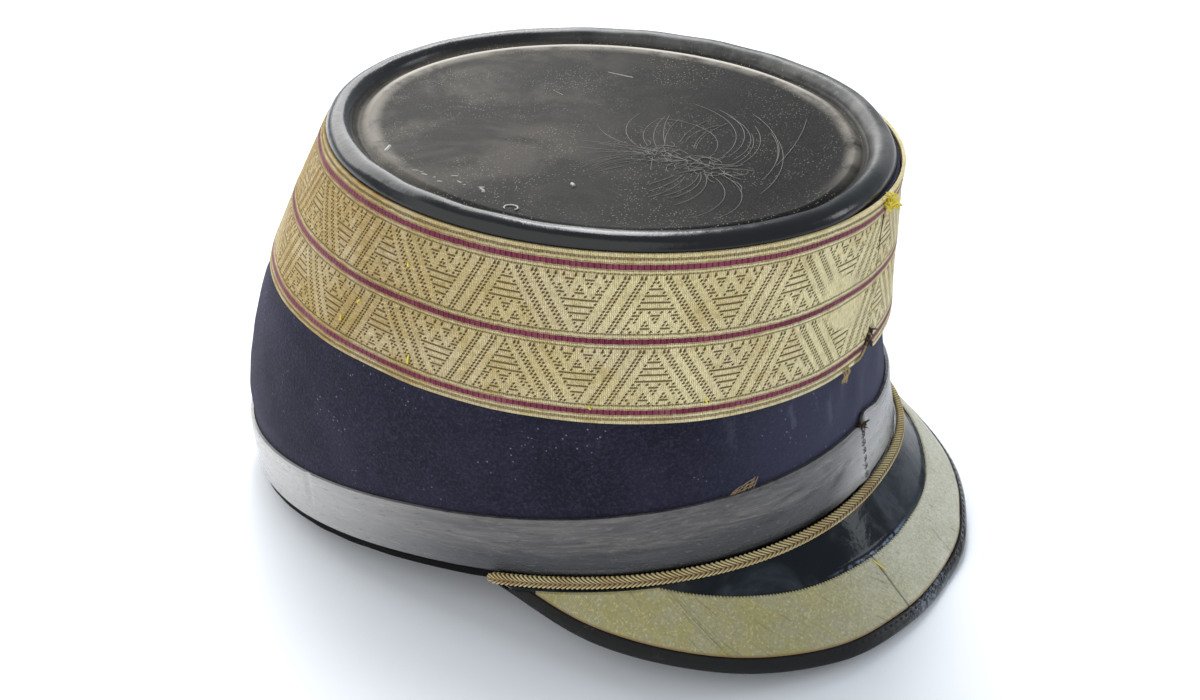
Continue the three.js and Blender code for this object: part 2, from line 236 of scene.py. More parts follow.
# Area lights in metres: name, place, aim, size, watts, tint.
LIGHTS = (
    ("window", (0.6, 1.1, 0.82), (0, 0, 0.08), (1.8, 1.0), 19, (1.0, 0.99, 0.97)),
    ("skylight", (0.62, 0.36, 1.25), (0, 0, 0.1), (0.36, 0.9), 12, (0.98, 0.985, 1.0)),
    ("fill", (-1.5, 0.25, 0.85), (0, 0, 0.06), (3.6, 2.2), 22, (1.0, 0.97, 0.92)),
    ("front", (0.75, -1.15, 0.6), (0, -0.08, 0.03), (0.35, 0.5), 2.4, (0.93, 0.97, 1.0)),
)
SKY = {"colour": (0.82, 0.91, 1.0, 1.0), "strength": 0.55}

# Hair-fine scratches on the disc spread as fans of arcs from a tangle.
SWIRL = {"x": -7.2, "y": -36.7, "radius": 0.06, "sides": 4, "lift": -0.02,
         "shake": (1.0, 1.3, 6, 10, 2.5)}
TANGLE = {"count": 100, "from": (-4.0, 2.3), "to": (17.3, -13.4), "spread": (1.8, 2.6), "turn": 150,
          "shortest": 3, "longest": 9}
# Fans: how many arcs, the first and the last arc. An arc has its start to the right and to the far side
# of the swirl's middle as seen in the photo, heading and turn in degrees, and length.
SWIRL_FANS = (
    (6, (15.0, -0.8, 48, 105, 41), (19.6, -8.8, 50, 45, 28)),
    (4, (30.1, -3.9, 74, 40, 32), (23.6, -26.2, 53, 38, 38)),
    (4, (-2.9, 0.5, 158, -12, 17), (-4.0, 0.2, 172, 0, 21)),
    (7, (-4.8, -0.1, 181, 50, 22), (-10.0, -8.0, 205, 30, 12)),
    (6, (-7.1, 4.6, 133, -65, 22), (1.7, 4.8, 84, -24, 21)),
    (4, (5.0, 9.0, 78, -25, 14), (8.7, 0.2, 80, -40, 20)),
    (8, (15.5, -13.4, -49, -95, 31), (3.1, -15.9, -131, -28, 13)),
)
# Pale flecks and marks on the disc: x, y, heading in degrees, turn, length, radius.
DISC_FLECKS = (
    (-48.0, 25.2, 17, 5, 4.6, 0.42),
    (-38.4, -28.2, 60, 0, 1.6, 0.5),
    (36.4, 5.0, -92, 4, 9.0, 0.16),
    (15.4, 12.0, -110, 0, 5.5, 0.12),
    (-59.5, -23.5, -30, 280, 8.5, 0.2),
)
FLECK_LIFT = 0.1
FLECK_ROW = {"from": (-52.9, 12.2), "to": (-53.3, -11.0), "count": 11, "spread": 0.9,
             "heading": (-110, -50), "length": (0.6, 2.2), "radius": (0.2, 0.34), "stations": 8}
# Yellow flecks on the crown lace: angle, depth below its top edge, lean in degrees of angle, length.
LACE_FLECKS = (
    (-170.5, 32.0, 0.3, 1.6),
    (-96.8, 12.9, 0.5, 1.4),
    (-103.5, 28.8, -0.4, 1.5),
    (-106.5, 36.0, 0.4, 1.8),
    (-90.8, 38.0, 0.2, 3.0),
    (-41.2, 40.2, 0.6, 1.8),
    (-60.5, 41.6, 0.5, 1.2),
    (-0.9, 33.0, 0.3, 2.2),
)
LACE_FLECK = {"ends": 0.3, "middle": 0.45, "radius": 0.26, "stations": 8}
# Tufts of curls: angle, depth below the lace's top edge, offset, count, spread, radius.
SEAM_TUFT = (-0.8, 1.6, 0.9, 16, 1.2, 0.2)
TEAR_TUFTS = ((-1.6, 42.6, 0.3, 14, 0.9, 0.2), (-0.8, 40.0, 0.4, 8, 0.7, 0.16))
# Thread in the joint of the peak's lace: share of the way to the corner, distance from the peak's edge.
JOINT_THREAD = np.array([(-0.175, 21.8), (-0.168, 19.6), (-0.16, 17.2)])
JOINT_THREAD_SIZE = {"lift": 0.15, "radius": 0.22, "stations": 10}
# Curls under the lace's lower edge: their angles, and depths and offsets of four places on each.
LOWER_FRAY = {"angle": -9.0, "spread": 0.8, "count": 9, "sway": 0.7, "first": 0.2, "last": 0.5,
              "uneven": 0.5, "depths": (45.6, 47.4, 48.6, 49.6), "offsets": (0.2, 0.7, 0.6, 0.2),
              "radius": 0.16}
# Fuzz across the lace's seam: depths, count, half width in degrees, drop of middle and end, offsets.
SEAM_FUZZ = {"from": 12, "to": 44, "count": 16, "start": 0.5, "end": 0.4, "drop": 0.7, "end_drop": 0.6,
             "uneven": 0.8, "offsets": (0.3, 0.6, 0.4), "radius": 0.13, "stations": 8}
# Places along threads on the lace: angle, depth below its top edge, offset.
TORN_SELVEDGE = ((-6.2, 46.4, 0.2), (-4.4, 45.6, 0.9), (-2.4, 43.2, 1.0), (-0.6, 40.4, 0.5))
TORN_SELVEDGE_RADIUS = 0.3
SEAM_LINE = ((LACE["seam"], 4.0, 0.0), (LACE["seam"], 20.0, 0.3), (LACE["seam"], 40.0, 0.2))
SEAM_LINE_SIZE = {"radius": 0.2, "stations": 30}
# Cross stitches over the band's seam: heights, half sizes across in degrees and up, offsets.
STITCH = {"low": 2.0, "high": 14.5, "count": 6, "half_width": 0.7, "half_height": 0.9, "offset": 0.7,
          "ends": -0.5, "middle": 0.15, "radius": 0.11, "stations": 8}
NOTCH_TUFT = {"aside": 0.3, "height": 17.2, "offset": 0.2, "count": 14, "spread": 0.8, "radius": 0.18}
# Scrap of net above the band: its angles, heights above the band's edge at both ends, and its threads.
GAUZE = {"from": -35.4, "to": -31.0, "low": 0.8, "high": 2.9, "hidden": 0.4, "offset": 0.3, "radius": 0.1,
         "upright": 8, "lean": 0.6, "lean_spread": 0.2, "level": 4, "level_from": 0.1, "over": 0.15,
         "level_ends": (-35.8, -30.8), "stations": 14, "wobble": 0.08}


def lerp(start, end, share):
    return start + (end - start) * share


def power(value, squareness):
    return np.sign(value) * np.abs(value) ** (2 / squareness)


def swell(share):
    """Parabola that is 0 at shares 0 and 1, and 1 in the middle."""
    return 4 * share * (1 - share)


def wrapped(value, turn):
    """Value brought to within half a turn of zero."""
    return (value + turn / 2) % turn - turn / 2


def full_turn(count):
    return np.linspace(0, FULL_TURN, count, endpoint=False)


def lengths(path):
    """Length along a path of points up to each point."""
    return np.concatenate([[0], np.cumsum(np.linalg.norm(np.diff(path, axis=0), axis=-1))])


def smooth(low, high, value):
    """0 below low, 1 above high, with an S-curve between them."""
    share = np.clip((value - low) / (high - low), 0, 1)
    return share * share * (3 - 2 * share)


def unit(vectors):
    return vectors / np.linalg.norm(vectors, axis=-1, keepdims=True)


def dot(first, second):
    return np.sum(first * second, axis=-1, keepdims=True)


def catmull(points, share):
    """Uniform Catmull-Rom curve through points at shares from 0 to 1."""
    ends = np.concatenate([[2 * points[0] - points[1]], points, [2 * points[-1] - points[-2]]])
    place = np.clip(share, 0, 1) * (len(points) - 1)
    index = np.clip(np.floor(place).astype(int), 0, len(points) - 2)
    t = (place - index)[..., None]
    a, b, c, d = (ends[index + k] for k in range(4))
    square = 2 * a - 5 * b + 4 * c - d
    cube = 3 * b - a - 3 * c + d
    return 0.5 * (2 * b + (c - a) * t + square * t**2 + cube * t**3)


def ripples(first_waves, second_waves, count):
    """A function of two coordinates: the sum of slanted sine waves, random in slant and phase, about -1
    to 1."""
    first_rate = random.uniform(-first_waves, first_waves, count)
    second_rate = random.uniform(-second_waves, second_waves, count)
    phase = random.uniform(0, FULL_TURN, count)

    def height(first, second):
        waves = zip(first_rate, second_rate, phase)
        return sum(np.sin(a * first + b * second + start) for a, b, start in waves) / np.sqrt(count)

    return height


def waves(first, second, rows):
    """Sum of random ripples over two coordinates, one for each row of a table of waves."""
    return sum(ripples(*row[:-1])(first, second) * row[-1] for row in rows)


def profile_y(profile, share):
    bulge = profile["bow"] * swell(share) * (1 + profile["bow_low"] * (0.5 - share))
    return lerp(profile["low_y"], profile["top_y"], share) + bulge


def crown_point(angle, share):
    """Superellipse round the crown: its width, length and squareness change from the lower edge to the
    top, and front and back follow their own bowed profiles. The angle starts at the front and turns to
    the left."""
    squareness = lerp(SQUARENESS["low"], SQUARENESS["top"], share)
    half_width = lerp(SIDE["low"], SIDE["top"], share) + SIDE["bow"] * swell(share)
    backward = (1 - power(np.cos(angle), squareness)) / 2
    front_z = lerp(FRONT["low_z"], FRONT["top_z"], share)
    back_z = lerp(BACK["low_z"], BACK["top_z"], share)
    x = half_width * power(np.sin(angle), squareness)
    y = lerp(profile_y(FRONT, share), profile_y(BACK, share), backward)
    return np.stack(np.broadcast_arrays(x, y, lerp(front_z, back_z, backward)), -1)


def wall_length(angle):
    levels = [crown_point(angle, i / LENGTH_STEPS) for i in range(LENGTH_STEPS + 1)]
    return np.linalg.norm(np.diff(np.stack(levels), axis=0), axis=-1).sum(0)


def crown_normal(angle, share):
    along = crown_point(angle + STEP, share) - crown_point(angle - STEP, share)
    upwards = crown_point(angle, share + STEP) - crown_point(angle, share - STEP)
    return unit(np.cross(along, upwards))


def wall_point(angle, height, offset):
    """Point of the wall at a height along it above the band's lower edge, moved outwards by an offset."""
    share = height / wall_length(angle)
    return crown_point(angle, share) + crown_normal(angle, share) * np.asarray(offset)[..., None]


def on_table(points):
    points[..., 2] = np.maximum(points[..., 2], 0)
    return points


rear = wall_point(np.pi, np.linspace(0, BAND["width"], 3), np.full(3, BAND["face"]))
SHIFT_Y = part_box("leather_band")[1][1] / MM - rear[:, 1].max()


def patch(points, ring=False, uv=None, **layers):
    """A grid of stations by points of a closed section; uv holds one more row and column where the grid
    closes."""
    return {"points": points, "ring": ring, "uv": uv, "layers": layers}


def patch_corners(stations, size, ring):
    """Corners (station, section point) of a patch's quads, and of its two end caps when it isn't a
    ring."""
    i, j = np.meshgrid(np.arange(stations if ring else stations - 1), np.arange(size), indexing="ij")
    quads = np.stack([i, j, i + 1, j, i + 1, j + 1, i, j + 1], -1).reshape(-1, 4, 2)
    if ring:
        return [quads]
    around = np.arange(size)
    first = np.stack([0 * around, around], -1)
    last = np.stack([0 * around + stations - 1, around[::-1]], -1)
    return [quads, first[None], last[None]]


def signed_volume(points, ring):
    """Volume enclosed by a patch, from the quads' diagonals and the caps' fans; negative if it faces
    inwards."""
    middle = points.reshape(-1, 3).mean(0)
    p = points - middle
    section = np.concatenate([p, p[:, :1]], 1)
    if ring:
        section = np.concatenate([section, section[:1]])
    a, b, c, d = section[:-1, :-1], section[1:, :-1], section[1:, 1:], section[:-1, 1:]
    total = np.sum(a * np.cross(b, c)) + np.sum(a * np.cross(c, d))
    if not ring:
        for loop in (p[0], p[-1, ::-1]):
            total += np.sum(loop[:1] * np.cross(loop[1:-1], loop[2:]))
    return total


def add_piece(name, patches, material, node=None, sharp=50):
    """Joins patches into one mesh piece that rides on the cap, with faces turned outwards."""
    places, loops, sides, uvs, layers = [], [], [], [], {}
    start = 0
    for part in patches:
        points, ring = part["points"], part["ring"]
        stations, size = points.shape[:2]
        uv = part["uv"]
        if uv is None:
            uv = np.zeros((stations + ring, size + 1, 2))
        turned = signed_volume(points, ring) < 0
        for corners in patch_corners(stations, size, ring):
            corners = corners[:, ::-1] if turned else corners
            station, around = corners[..., 0], corners[..., 1]
            loops.append((start + (station % stations) * size + around % size).ravel())
            sides.append(np.full(len(corners), corners.shape[1]))
            uvs.append(uv[station, around].reshape(-1, 2))
        places.append(points.reshape(-1, 3))
        for key, values in part["layers"].items():
            layers.setdefault(key, []).append(np.broadcast_to(values, (stations, size)).ravel())
        start += stations * size
    place, loop, side = np.concatenate(places), np.concatenate(loops), np.concatenate(sides)
    mesh = bpy.data.meshes.new(name)
    mesh.vertices.add(len(place))
    mesh.vertices.foreach_set("co", ((place + (0, SHIFT_Y, 0)) * MM).astype(np.float32).ravel())
    mesh.loops.add(len(loop))
    mesh.loops.foreach_set("vertex_index", loop.astype(np.int32))
    mesh.polygons.add(len(side))
    mesh.polygons.foreach_set("loop_start", (np.cumsum(side) - side).astype(np.int32))
    mesh.update(calc_edges=True)
    mesh.uv_layers.new(name="UVMap").data.foreach_set("uv", np.concatenate(uvs).ravel().astype(np.float32))
    for key, values in layers.items():
        attribute = mesh.attributes.new(key, "FLOAT", "POINT")
        attribute.data.foreach_set("value", np.concatenate(values).astype(np.float32))
    mesh.shade_smooth()
    mesh.set_sharp_from_angle(angle=np.radians(sharp))
    mesh.materials.append(material)
    piece = bpy.data.objects.new(name, mesh)
    bpy.context.collection.objects.link(piece)
    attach(piece, "root")
    if node:
        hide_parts(node)


def grid_uv(along, across):
    """UV grid from a coordinate of each station and one of each section point."""
    return np.stack(np.broadcast_arrays(np.asarray(along)[:, None], np.asarray(across)[None, :]), -1)


class Look:
    """Node tree of one material, built from short calls."""

    def __init__(self, name):
        self.material = bpy.data.materials.new(name)
        self.material.use_nodes = True
        self.tree = self.material.node_tree
        self.shader = self.tree.nodes["Principled BSDF"]
        coordinates = self.tree.nodes.new("ShaderNodeTexCoord")
        self.place = coordinates.outputs["Object"]
        self.uv = coordinates.outputs["UV"]

    def put(self, value, socket):
        if isinstance(value, bpy.types.NodeSocket):
            self.tree.links.new(value, socket)
        elif value is not None:
            socket.default_value = value

    def node(self, kind, inputs, **settings):
        made = self.tree.nodes.new(kind)
        for key, value in settings.items():
            setattr(made, key, value)
        for key, value in inputs.items():
            self.put(value, made.inputs[key])
        return made

    def math(self, operation, first, second=None, third=None):
        inputs = {0: first, 1: second, 2: third}
        return self.node("ShaderNodeMath", inputs, operation=operation).outputs[0]

    def times(self, first, second):
        return self.math("MULTIPLY", first, second)

    def times_plus(self, value, factor, added):
        return self.math("MULTIPLY_ADD", value, factor, added)

    def away(self, value, middle):
        """Distance of a value from a middle one."""
        return self.math("ABSOLUTE", self.math("SUBTRACT", value, middle))

    def scaled_place(self, scales):
        inputs = {0: self.place, 1: scales}
        return self.node("ShaderNodeVectorMath", inputs, operation="MULTIPLY").outputs[0]

    def split(self, vector):
        return self.node("ShaderNodeSeparateXYZ", {0: vector}).outputs

    def join(self, x, y):
        return self.node("ShaderNodeCombineXYZ", {0: x, 1: y}).outputs[0]

    def stretch(self, first, first_scale, second, second_scale):
        """Place made of two coordinates, each scaled by its own number."""
        return self.join(self.times(first, first_scale), self.times(second, second_scale))

    def noise(self, scale, detail, rough=0.55, at=None, distortion=0.0):
        inputs = {"Vector": at or self.place, "Scale": scale, "Detail": detail, "Roughness": rough,
                  "Distortion": distortion}
        return self.node("ShaderNodeTexNoise", inputs).outputs[0]

    def cells(self, scale):
        inputs = {"Vector": self.place, "Scale": scale}
        return self.node("ShaderNodeTexVoronoi", inputs).outputs["Distance"]

    def span(self, value, low, high):
        """Maps low..high to 0..1 with an S-curve, held beyond both. Low may be the greater one."""
        inputs = {"Value": value, "From Min": low, "From Max": high}
        return self.node("ShaderNodeMapRange", inputs, interpolation_type="SMOOTHSTEP").outputs[0]

    def mix(self, share, first, second):
        """Colour between two others. The colour sockets are known by place, not by name."""
        made = self.node("ShaderNodeMix", {0: share}, data_type="RGBA")
        self.put(colour(first), made.inputs[6])
        self.put(colour(second), made.inputs[7])
        return made.outputs[2]

    def tint(self, base, share, amount, tone):
        """Lays a tone over a base by an amount where there is a share of it."""
        return self.mix(self.times(share, amount), base, tone)

    def between(self, share, first, second):
        """Number between two others."""
        return self.node("ShaderNodeMix", {0: share, 2: first, 3: second}).outputs[0]

    def layer(self, name):
        return self.node("ShaderNodeAttribute", {}, attribute_name=name).outputs["Fac"]

    def bump(self, height, distance, strength, under=None):
        inputs = {"Height": height, "Distance": distance * MM, "Strength": strength, "Normal": under}
        return self.node("ShaderNodeBump", inputs).outputs[0]

    def finish(self, **inputs):
        for key, value in inputs.items():
            socket = self.shader.inputs[key.replace("_", " ")]
            self.put(colour(value) if "Color" in key or "Tint" in key else value, socket)
        return self.material


def colour(value):
    """A colour given as three values from 0 to 255 becomes linear by the sRGB curve; sockets pass
    through."""
    if isinstance(value, tuple):
        srgb = np.array(value) / 255
        linear = np.where(srgb > 0.04045, ((srgb + 0.055) / 1.055) ** 2.4, srgb / 12.92)
        return (*linear, 1.0)
    return value


def wool_look():
    """Felted navy cloth: mottled, with lint, a painted sheen and dust towards the front."""
    look = Look("navy_wool")
    felt = look.noise(1100, 5, 0.75)
    cloud = look.noise(34, 5, 0.65)
    linty = look.span(look.noise(70, 3), 0.5, 0.64)
    lint = look.times(look.span(look.cells(520), 0.16, 0.07), linty)
    hair = look.noise(1.0, 3, 0.6, look.scaled_place((420, 420, 1500)))
    strands = look.times(look.span(hair, 0.63, 0.74), 0.5)
    _, y, _ = look.split(look.place)
    # Painted sheen: the cloth is painted lighter and bluer towards the front, where grazing light gives wool
    # a sheen.
    front_sheen = look.times(look.span(y, -0.055, -0.098), 0.75)
    base = look.mix(look.span(cloud, 0.35, 0.68), (24, 23, 37), (36, 34, 50))
    base = look.mix(front_sheen, base, (68, 71, 92))
    base = look.tint(base, look.span(felt, 0.42, 0.75), 0.55, (66, 65, 84))
    base = look.mix(strands, base, (74, 73, 92))
    dust = look.noise(1.0, 4, 0.65, look.scaled_place((170, 170, 60)))
    dusty = look.times(look.span(dust, 0.56, 0.7), look.span(y, -0.06, -0.078))
    base = look.tint(base, dusty, 0.2, (122, 124, 138))
    base = look.tint(base, lint, 0.6, (150, 148, 158))
    normal = look.bump(felt, 0.4, 0.8)
    return look.finish(Base_Color=base, Roughness=0.95, Normal=normal, Sheen_Weight=0.2, Sheen_Roughness=0.4,
                       Sheen_Tint=(190, 185, 205), Specular_IOR_Level=0.15)


def top_look():
    """Worn leather: a dusty disc, paler towards the camera's left from painted reflection and dust, with
    painted shade on its near side, a painted highlight on its far ridge, and a glossy rolled rim.
    """
    look = Look("top_leather")
    inset = look.layer("inset")
    roll = look.span(inset, 9.0, 7.4)
    x, y, _ = look.split(look.place)
    away = look.times_plus(x, AWAY["x"], look.times(y, AWAY["y"]))
    right = look.times_plus(x, AWAY["y"], look.times(y, -AWAY["x"]))
    not_near = look.span(away, -0.05, -0.01)
    far = look.span(away, 0.0, 0.05)
    leftward = look.span(right, 0.05, -0.05)
    cloud = look.noise(26, 7, 0.66, distortion=0.8)
    fine = look.noise(2100, 3, 0.7)
    streaks = look.noise(80, 6, 0.68, distortion=0.4)
    # Painted reflection: the disc is painted paler towards the camera's left, where it reflects the window,
    # together with the dust there.
    base = look.mix(leftward, (18, 16, 14), (72, 67, 60))
    base = look.tint(base, look.span(cloud, 0.4, 0.6), 0.8, (12, 12, 11))
    # Painted shade: the disc is painted darker along its side near the camera.
    near_shade = look.times(look.span(away, -0.02, -0.06), 0.55)
    base = look.mix(near_shade, base, (12, 12, 11))
    base = look.tint(base, look.span(fine, 0.5, 0.7), 0.3, (84, 82, 79))
    gritty = look.span(look.noise(60, 5), 0.38, 0.6)
    grit = look.times(look.span(look.cells(1150), 0.24, 0.1), gritty)
    base = look.tint(base, grit, 0.75, (162, 153, 140))
    around = look.span(look.away(inset, 12.6), 4.2, 0.6)
    dusty = look.times(look.times(around, look.span(streaks, 0.3, 0.6)), not_near)
    base = look.tint(base, dusty, 0.8, (142, 136, 126))
    # Painted highlight: a pale line is painted on the ridge round the disc, on its far side from the camera
    # only.
    ridge = look.span(look.away(inset, 11.8), 1.7, 0.4)
    base = look.mix(look.times(ridge, far), base, (206, 199, 188))
    dull = look.mix(leftward, (96, 95, 92), (40, 40, 40))
    dull = look.tint(dull, look.span(streaks, 0.42, 0.62), 0.6, (32, 32, 34))
    worn_part = look.times(not_near, look.times_plus(leftward, -0.8, 1.0))
    rolled = look.mix(worn_part, (11, 11, 13), dull)
    worn = look.times(look.span(look.noise(520, 5, 0.72), 0.58, 0.7), 0.45)
    rolled = look.mix(look.times(worn, worn_part), rolled, (150, 146, 138))
    base = look.mix(roll, base, rolled)
    shine = look.times_plus(look.noise(110, 5, 0.65), 0.24, 0.07)
    shine = look.times_plus(worn_part, 0.16, shine)
    rough = look.between(roll, 0.5, shine)
    gloss = look.times_plus(roll, look.times_plus(worn_part, -0.24, 0.4), 0.06)
    normal = look.bump(fine, 0.03, 0.6)
    normal = look.bump(look.noise(190, 4, 0.6), 0.2, 0.7, normal)
    return look.finish(Base_Color=base, Roughness=rough, Normal=normal, Specular_IOR_Level=gloss)


def crown_lace_look():
    """Gold weave on its own UV, threads by millimetres, with crimson stripes and dark lines."""
    look = Look("woven_lace")
    column, depth, _ = look.split(look.uv)
    pit = look.layer("pit")
    wobble = look.noise(1.0, 2, 0.5, look.stretch(column, 0.33, depth, 0.3))
    lines = look.times_plus(look.math("SUBTRACT", wobble, 0.5), 0.5, depth)
    from_first = look.math("SUBTRACT", lines, STRIPES["first"])
    stripe = look.math("ABSOLUTE", look.math("PINGPONG", from_first, STRIPES["pitch"] / 2))
    crimson = look.span(stripe, STRIPES["half"] + 0.08, STRIPES["half"] - 0.08)
    groove = look.span(look.away(stripe, STRIPES["groove"]), 0.4, 0.12)
    edge_line = look.span(look.away(stripe, LACE_LINES["edge"]), 0.22, 0.08)
    selvedge = look.span(look.away(lines, LACE_LINES["selvedge"]), 0.26, 0.08)
    lower = look.span(look.away(lines, LACE_LINES["lower"]), 0.24, 0.08)
    threads = look.math("ABSOLUTE", look.math("SINE", look.times(column, np.pi)))
    bead = look.math("ABSOLUTE", look.math("SINE", look.times(column, np.pi / 2)))
    fibre_at = look.stretch(column, 1.6, depth, 0.55)
    fibre = look.noise(1.0, 4, 0.7, fibre_at)
    cross = look.noise(1.0, 3, 0.6, look.stretch(column, 0.12, depth, 2.6))
    division = look.span(look.math("PINGPONG", column, 1.5), 0.5, 0.15)
    age = look.noise(30, 5, 0.65)
    stain = look.noise(120, 5, 0.7)
    _, y, _ = look.split(look.place)
    # Painted light: the gold is painted paler towards the front and darker towards the back, as the light
    # falls on it.
    pale = look.span(y, 0.04, -0.07)
    gold = look.mix(pale, (180, 148, 82), (255, 242, 190))
    gold = look.tint(gold, look.span(age, 0.36, 0.7), 0.5, (206, 178, 104))
    gold = look.tint(gold, look.span(look.noise(55, 4), 0.45, 0.65), 0.45, (232, 216, 184))
    gold = look.tint(gold, look.span(stain, 0.52, 0.7), 0.35, (186, 150, 74))
    gold = look.tint(gold, look.span(fibre, 0.42, 0.66), 0.55, (156, 130, 68))
    gold = look.tint(gold, look.span(cross, 0.45, 0.7), 0.4, (255, 246, 206))
    gold = look.tint(gold, look.span(threads, 0.45, 0.05), 0.35, (118, 96, 44))
    red = look.mix(look.span(age, 0.35, 0.7), (120, 34, 60), (148, 64, 88))
    red = look.tint(red, look.span(stain, 0.5, 0.7), 0.5, (152, 90, 104))
    red = look.tint(red, division, 0.85, (54, 14, 28))
    base = look.mix(crimson, gold, red)
    grooved = look.times(groove, look.times_plus(bead, -0.4, 0.95))
    dark = look.math("MAXIMUM", grooved, look.times(edge_line, 0.6))
    dark = look.math("MAXIMUM", dark, look.times(look.math("MAXIMUM", selvedge, lower), 0.7))
    base = look.mix(dark, base, (84, 66, 28))
    # Painted shade: the pits are painted brown, and dark brown towards their middles, as the shade in them.
    base = look.tint(base, look.span(pit, 0.16, 0.5), 0.85, (120, 94, 42))
    base = look.mix(look.span(pit, 0.62, 0.92), base, (44, 30, 8))
    height = look.math("SUBTRACT", look.times(threads, 0.4), look.times(look.span(pit, 0.1, 0.7), 1.4))
    height = look.times_plus(fibre, 0.9, height)
    normal = look.bump(height, 0.55, 1.0)
    return look.finish(Base_Color=base, Roughness=0.55, Metallic=0.1, Normal=normal, Specular_IOR_Level=0.3)


def band_look():
    """Wrinkled leather on its own UV, with painted reflection making it pale at the back and at the very
    front, painted shade low down and in its creases, and painted highlights on its wrinkles.
    """
    look = Look("band_leather")
    along, height, _ = look.split(look.uv)
    streak_at = look.stretch(along, 0.05, height, 0.45)
    streaks = look.noise(1.0, 8, 0.72, streak_at, 1.1)
    wrinkle_at = look.stretch(along, 0.3, height, 1.3)
    wrinkles = look.noise(1.0, 6, 0.72, wrinkle_at, 0.6)
    cloud = look.noise(24, 5, 0.65)
    _, y, _ = look.split(look.place)
    front = look.span(y, -0.087, -0.0915)
    rear = look.span(y, -0.02, 0.075)
    base = look.mix(look.span(streaks, 0.38, 0.66), (58, 55, 55), (94, 90, 88))
    # Painted shade: the lower part of the band is painted dark.
    low = look.span(look.times_plus(streaks, 5.0, height), 13.0, 7.0)
    base = look.tint(base, low, 0.85, (22, 24, 31))
    # Painted reflection: the band is painted pale at the back and at the very front, standing in for the
    # leather's sheen.
    base = look.tint(base, look.math("MAXIMUM", front, rear), 0.7, (196, 193, 190))
    # Painted shade: a dark wedge is painted low on the band ahead of the cord.
    ahead = look.times(look.span(y, -0.055, -0.08), look.span(y, -0.0915, -0.087))
    wedge_shade = look.times(look.span(look.times_plus(streaks, 4.0, height), 13.0, 9.5), ahead)
    base = look.tint(base, wedge_shade, 0.75, (20, 21, 26))
    # Painted highlights: pale flecks are painted on the crests of the wrinkles.
    flecks = look.times(look.span(wrinkles, 0.56, 0.68), look.span(cloud, 0.35, 0.6))
    base = look.tint(base, flecks, 0.3, (150, 146, 142))
    # Painted shade: the hollows of the wrinkles are painted dark.
    creases = look.times(look.span(wrinkles, 0.43, 0.35), 0.55)
    base = look.mix(creases, base, (26, 26, 29))
    rough = look.times_plus(streaks, 0.36, 0.06)
    normal = look.bump(wrinkles, 0.2, 0.7)
    normal = look.bump(streaks, 0.24, 0.5, normal)
    return look.finish(Base_Color=base, Roughness=rough, Normal=normal, Specular_IOR_Level=0.8)


def edge_look(name, shine):
    """Black edging, dull on the wearer's right, with painted pale blue glints on the front of the peak."""
    look = Look(name)
    grain = look.noise(900, 4, 0.65)
    wear = look.span(look.noise(190, 6, 0.72), 0.6, 0.72)
    x, y, _ = look.split(look.place)
    front = look.span(x, -0.05, -0.012)
    base = look.mix(look.noise(60, 3), (6, 5, 5), (13, 12, 11))
    base = look.tint(base, wear, 0.35, (88, 85, 80))
    # Painted highlights: pale blue glints are painted on the nose of the peak's binding at the front.
    nose = look.times(look.span(x, -0.026, -0.014), look.span(x, 0.008, -0.004))
    nose = look.times(nose, look.span(y, -0.095, -0.105))
    painted_glints = look.times(look.span(look.noise(620, 4, 0.7), 0.48, 0.6), nose)
    base = look.tint(base, painted_glints, 0.4, (140, 154, 176))
    rough = look.between(front, 0.75, look.times_plus(grain, 0.2, 0.06))
    normal = look.bump(look.noise(330, 4), 0.4, 0.9, look.bump(grain, 0.06, 0.6))
    return look.finish(Base_Color=base, Roughness=rough, Normal=normal, Specular_IOR_Level=shine)


def peak_look():
    """Hazy black leather with glints on the puckered ridge."""
    look = Look("peak_leather")
    haze = look.span(look.noise(38, 5, 0.62, distortion=0.8), 0.44, 0.7)
    smudge = look.span(look.noise(120, 5, 0.7), 0.45, 0.7)
    specky = look.span(look.noise(40, 3), 0.5, 0.65)
    specks = look.times(look.span(look.cells(500), 0.1, 0.04), specky)
    base = look.mix(haze, (22, 26, 31), (52, 58, 65))
    base = look.tint(base, smudge, 0.4, (14, 17, 23))
    base = look.tint(base, specks, 0.35, (150, 150, 150))
    x, _, _ = look.split(look.place)
    middle = look.times(look.span(x, -0.04, -0.02), look.span(x, 0.004, -0.008))
    glint = look.times(look.span(look.noise(480, 3, 0.6), 0.42, 0.56), middle)
    glint = look.times(look.span(look.layer("pucker"), 0.45, 0.85), glint)
    base = look.tint(base, glint, 0.6, (134, 150, 174))
    rough = look.times_plus(haze, 0.2, 0.12)
    normal = look.bump(look.noise(90, 4), 0.4, 0.7)
    return look.finish(Base_Color=base, Roughness=rough, Normal=normal, Specular_IOR_Level=0.14)


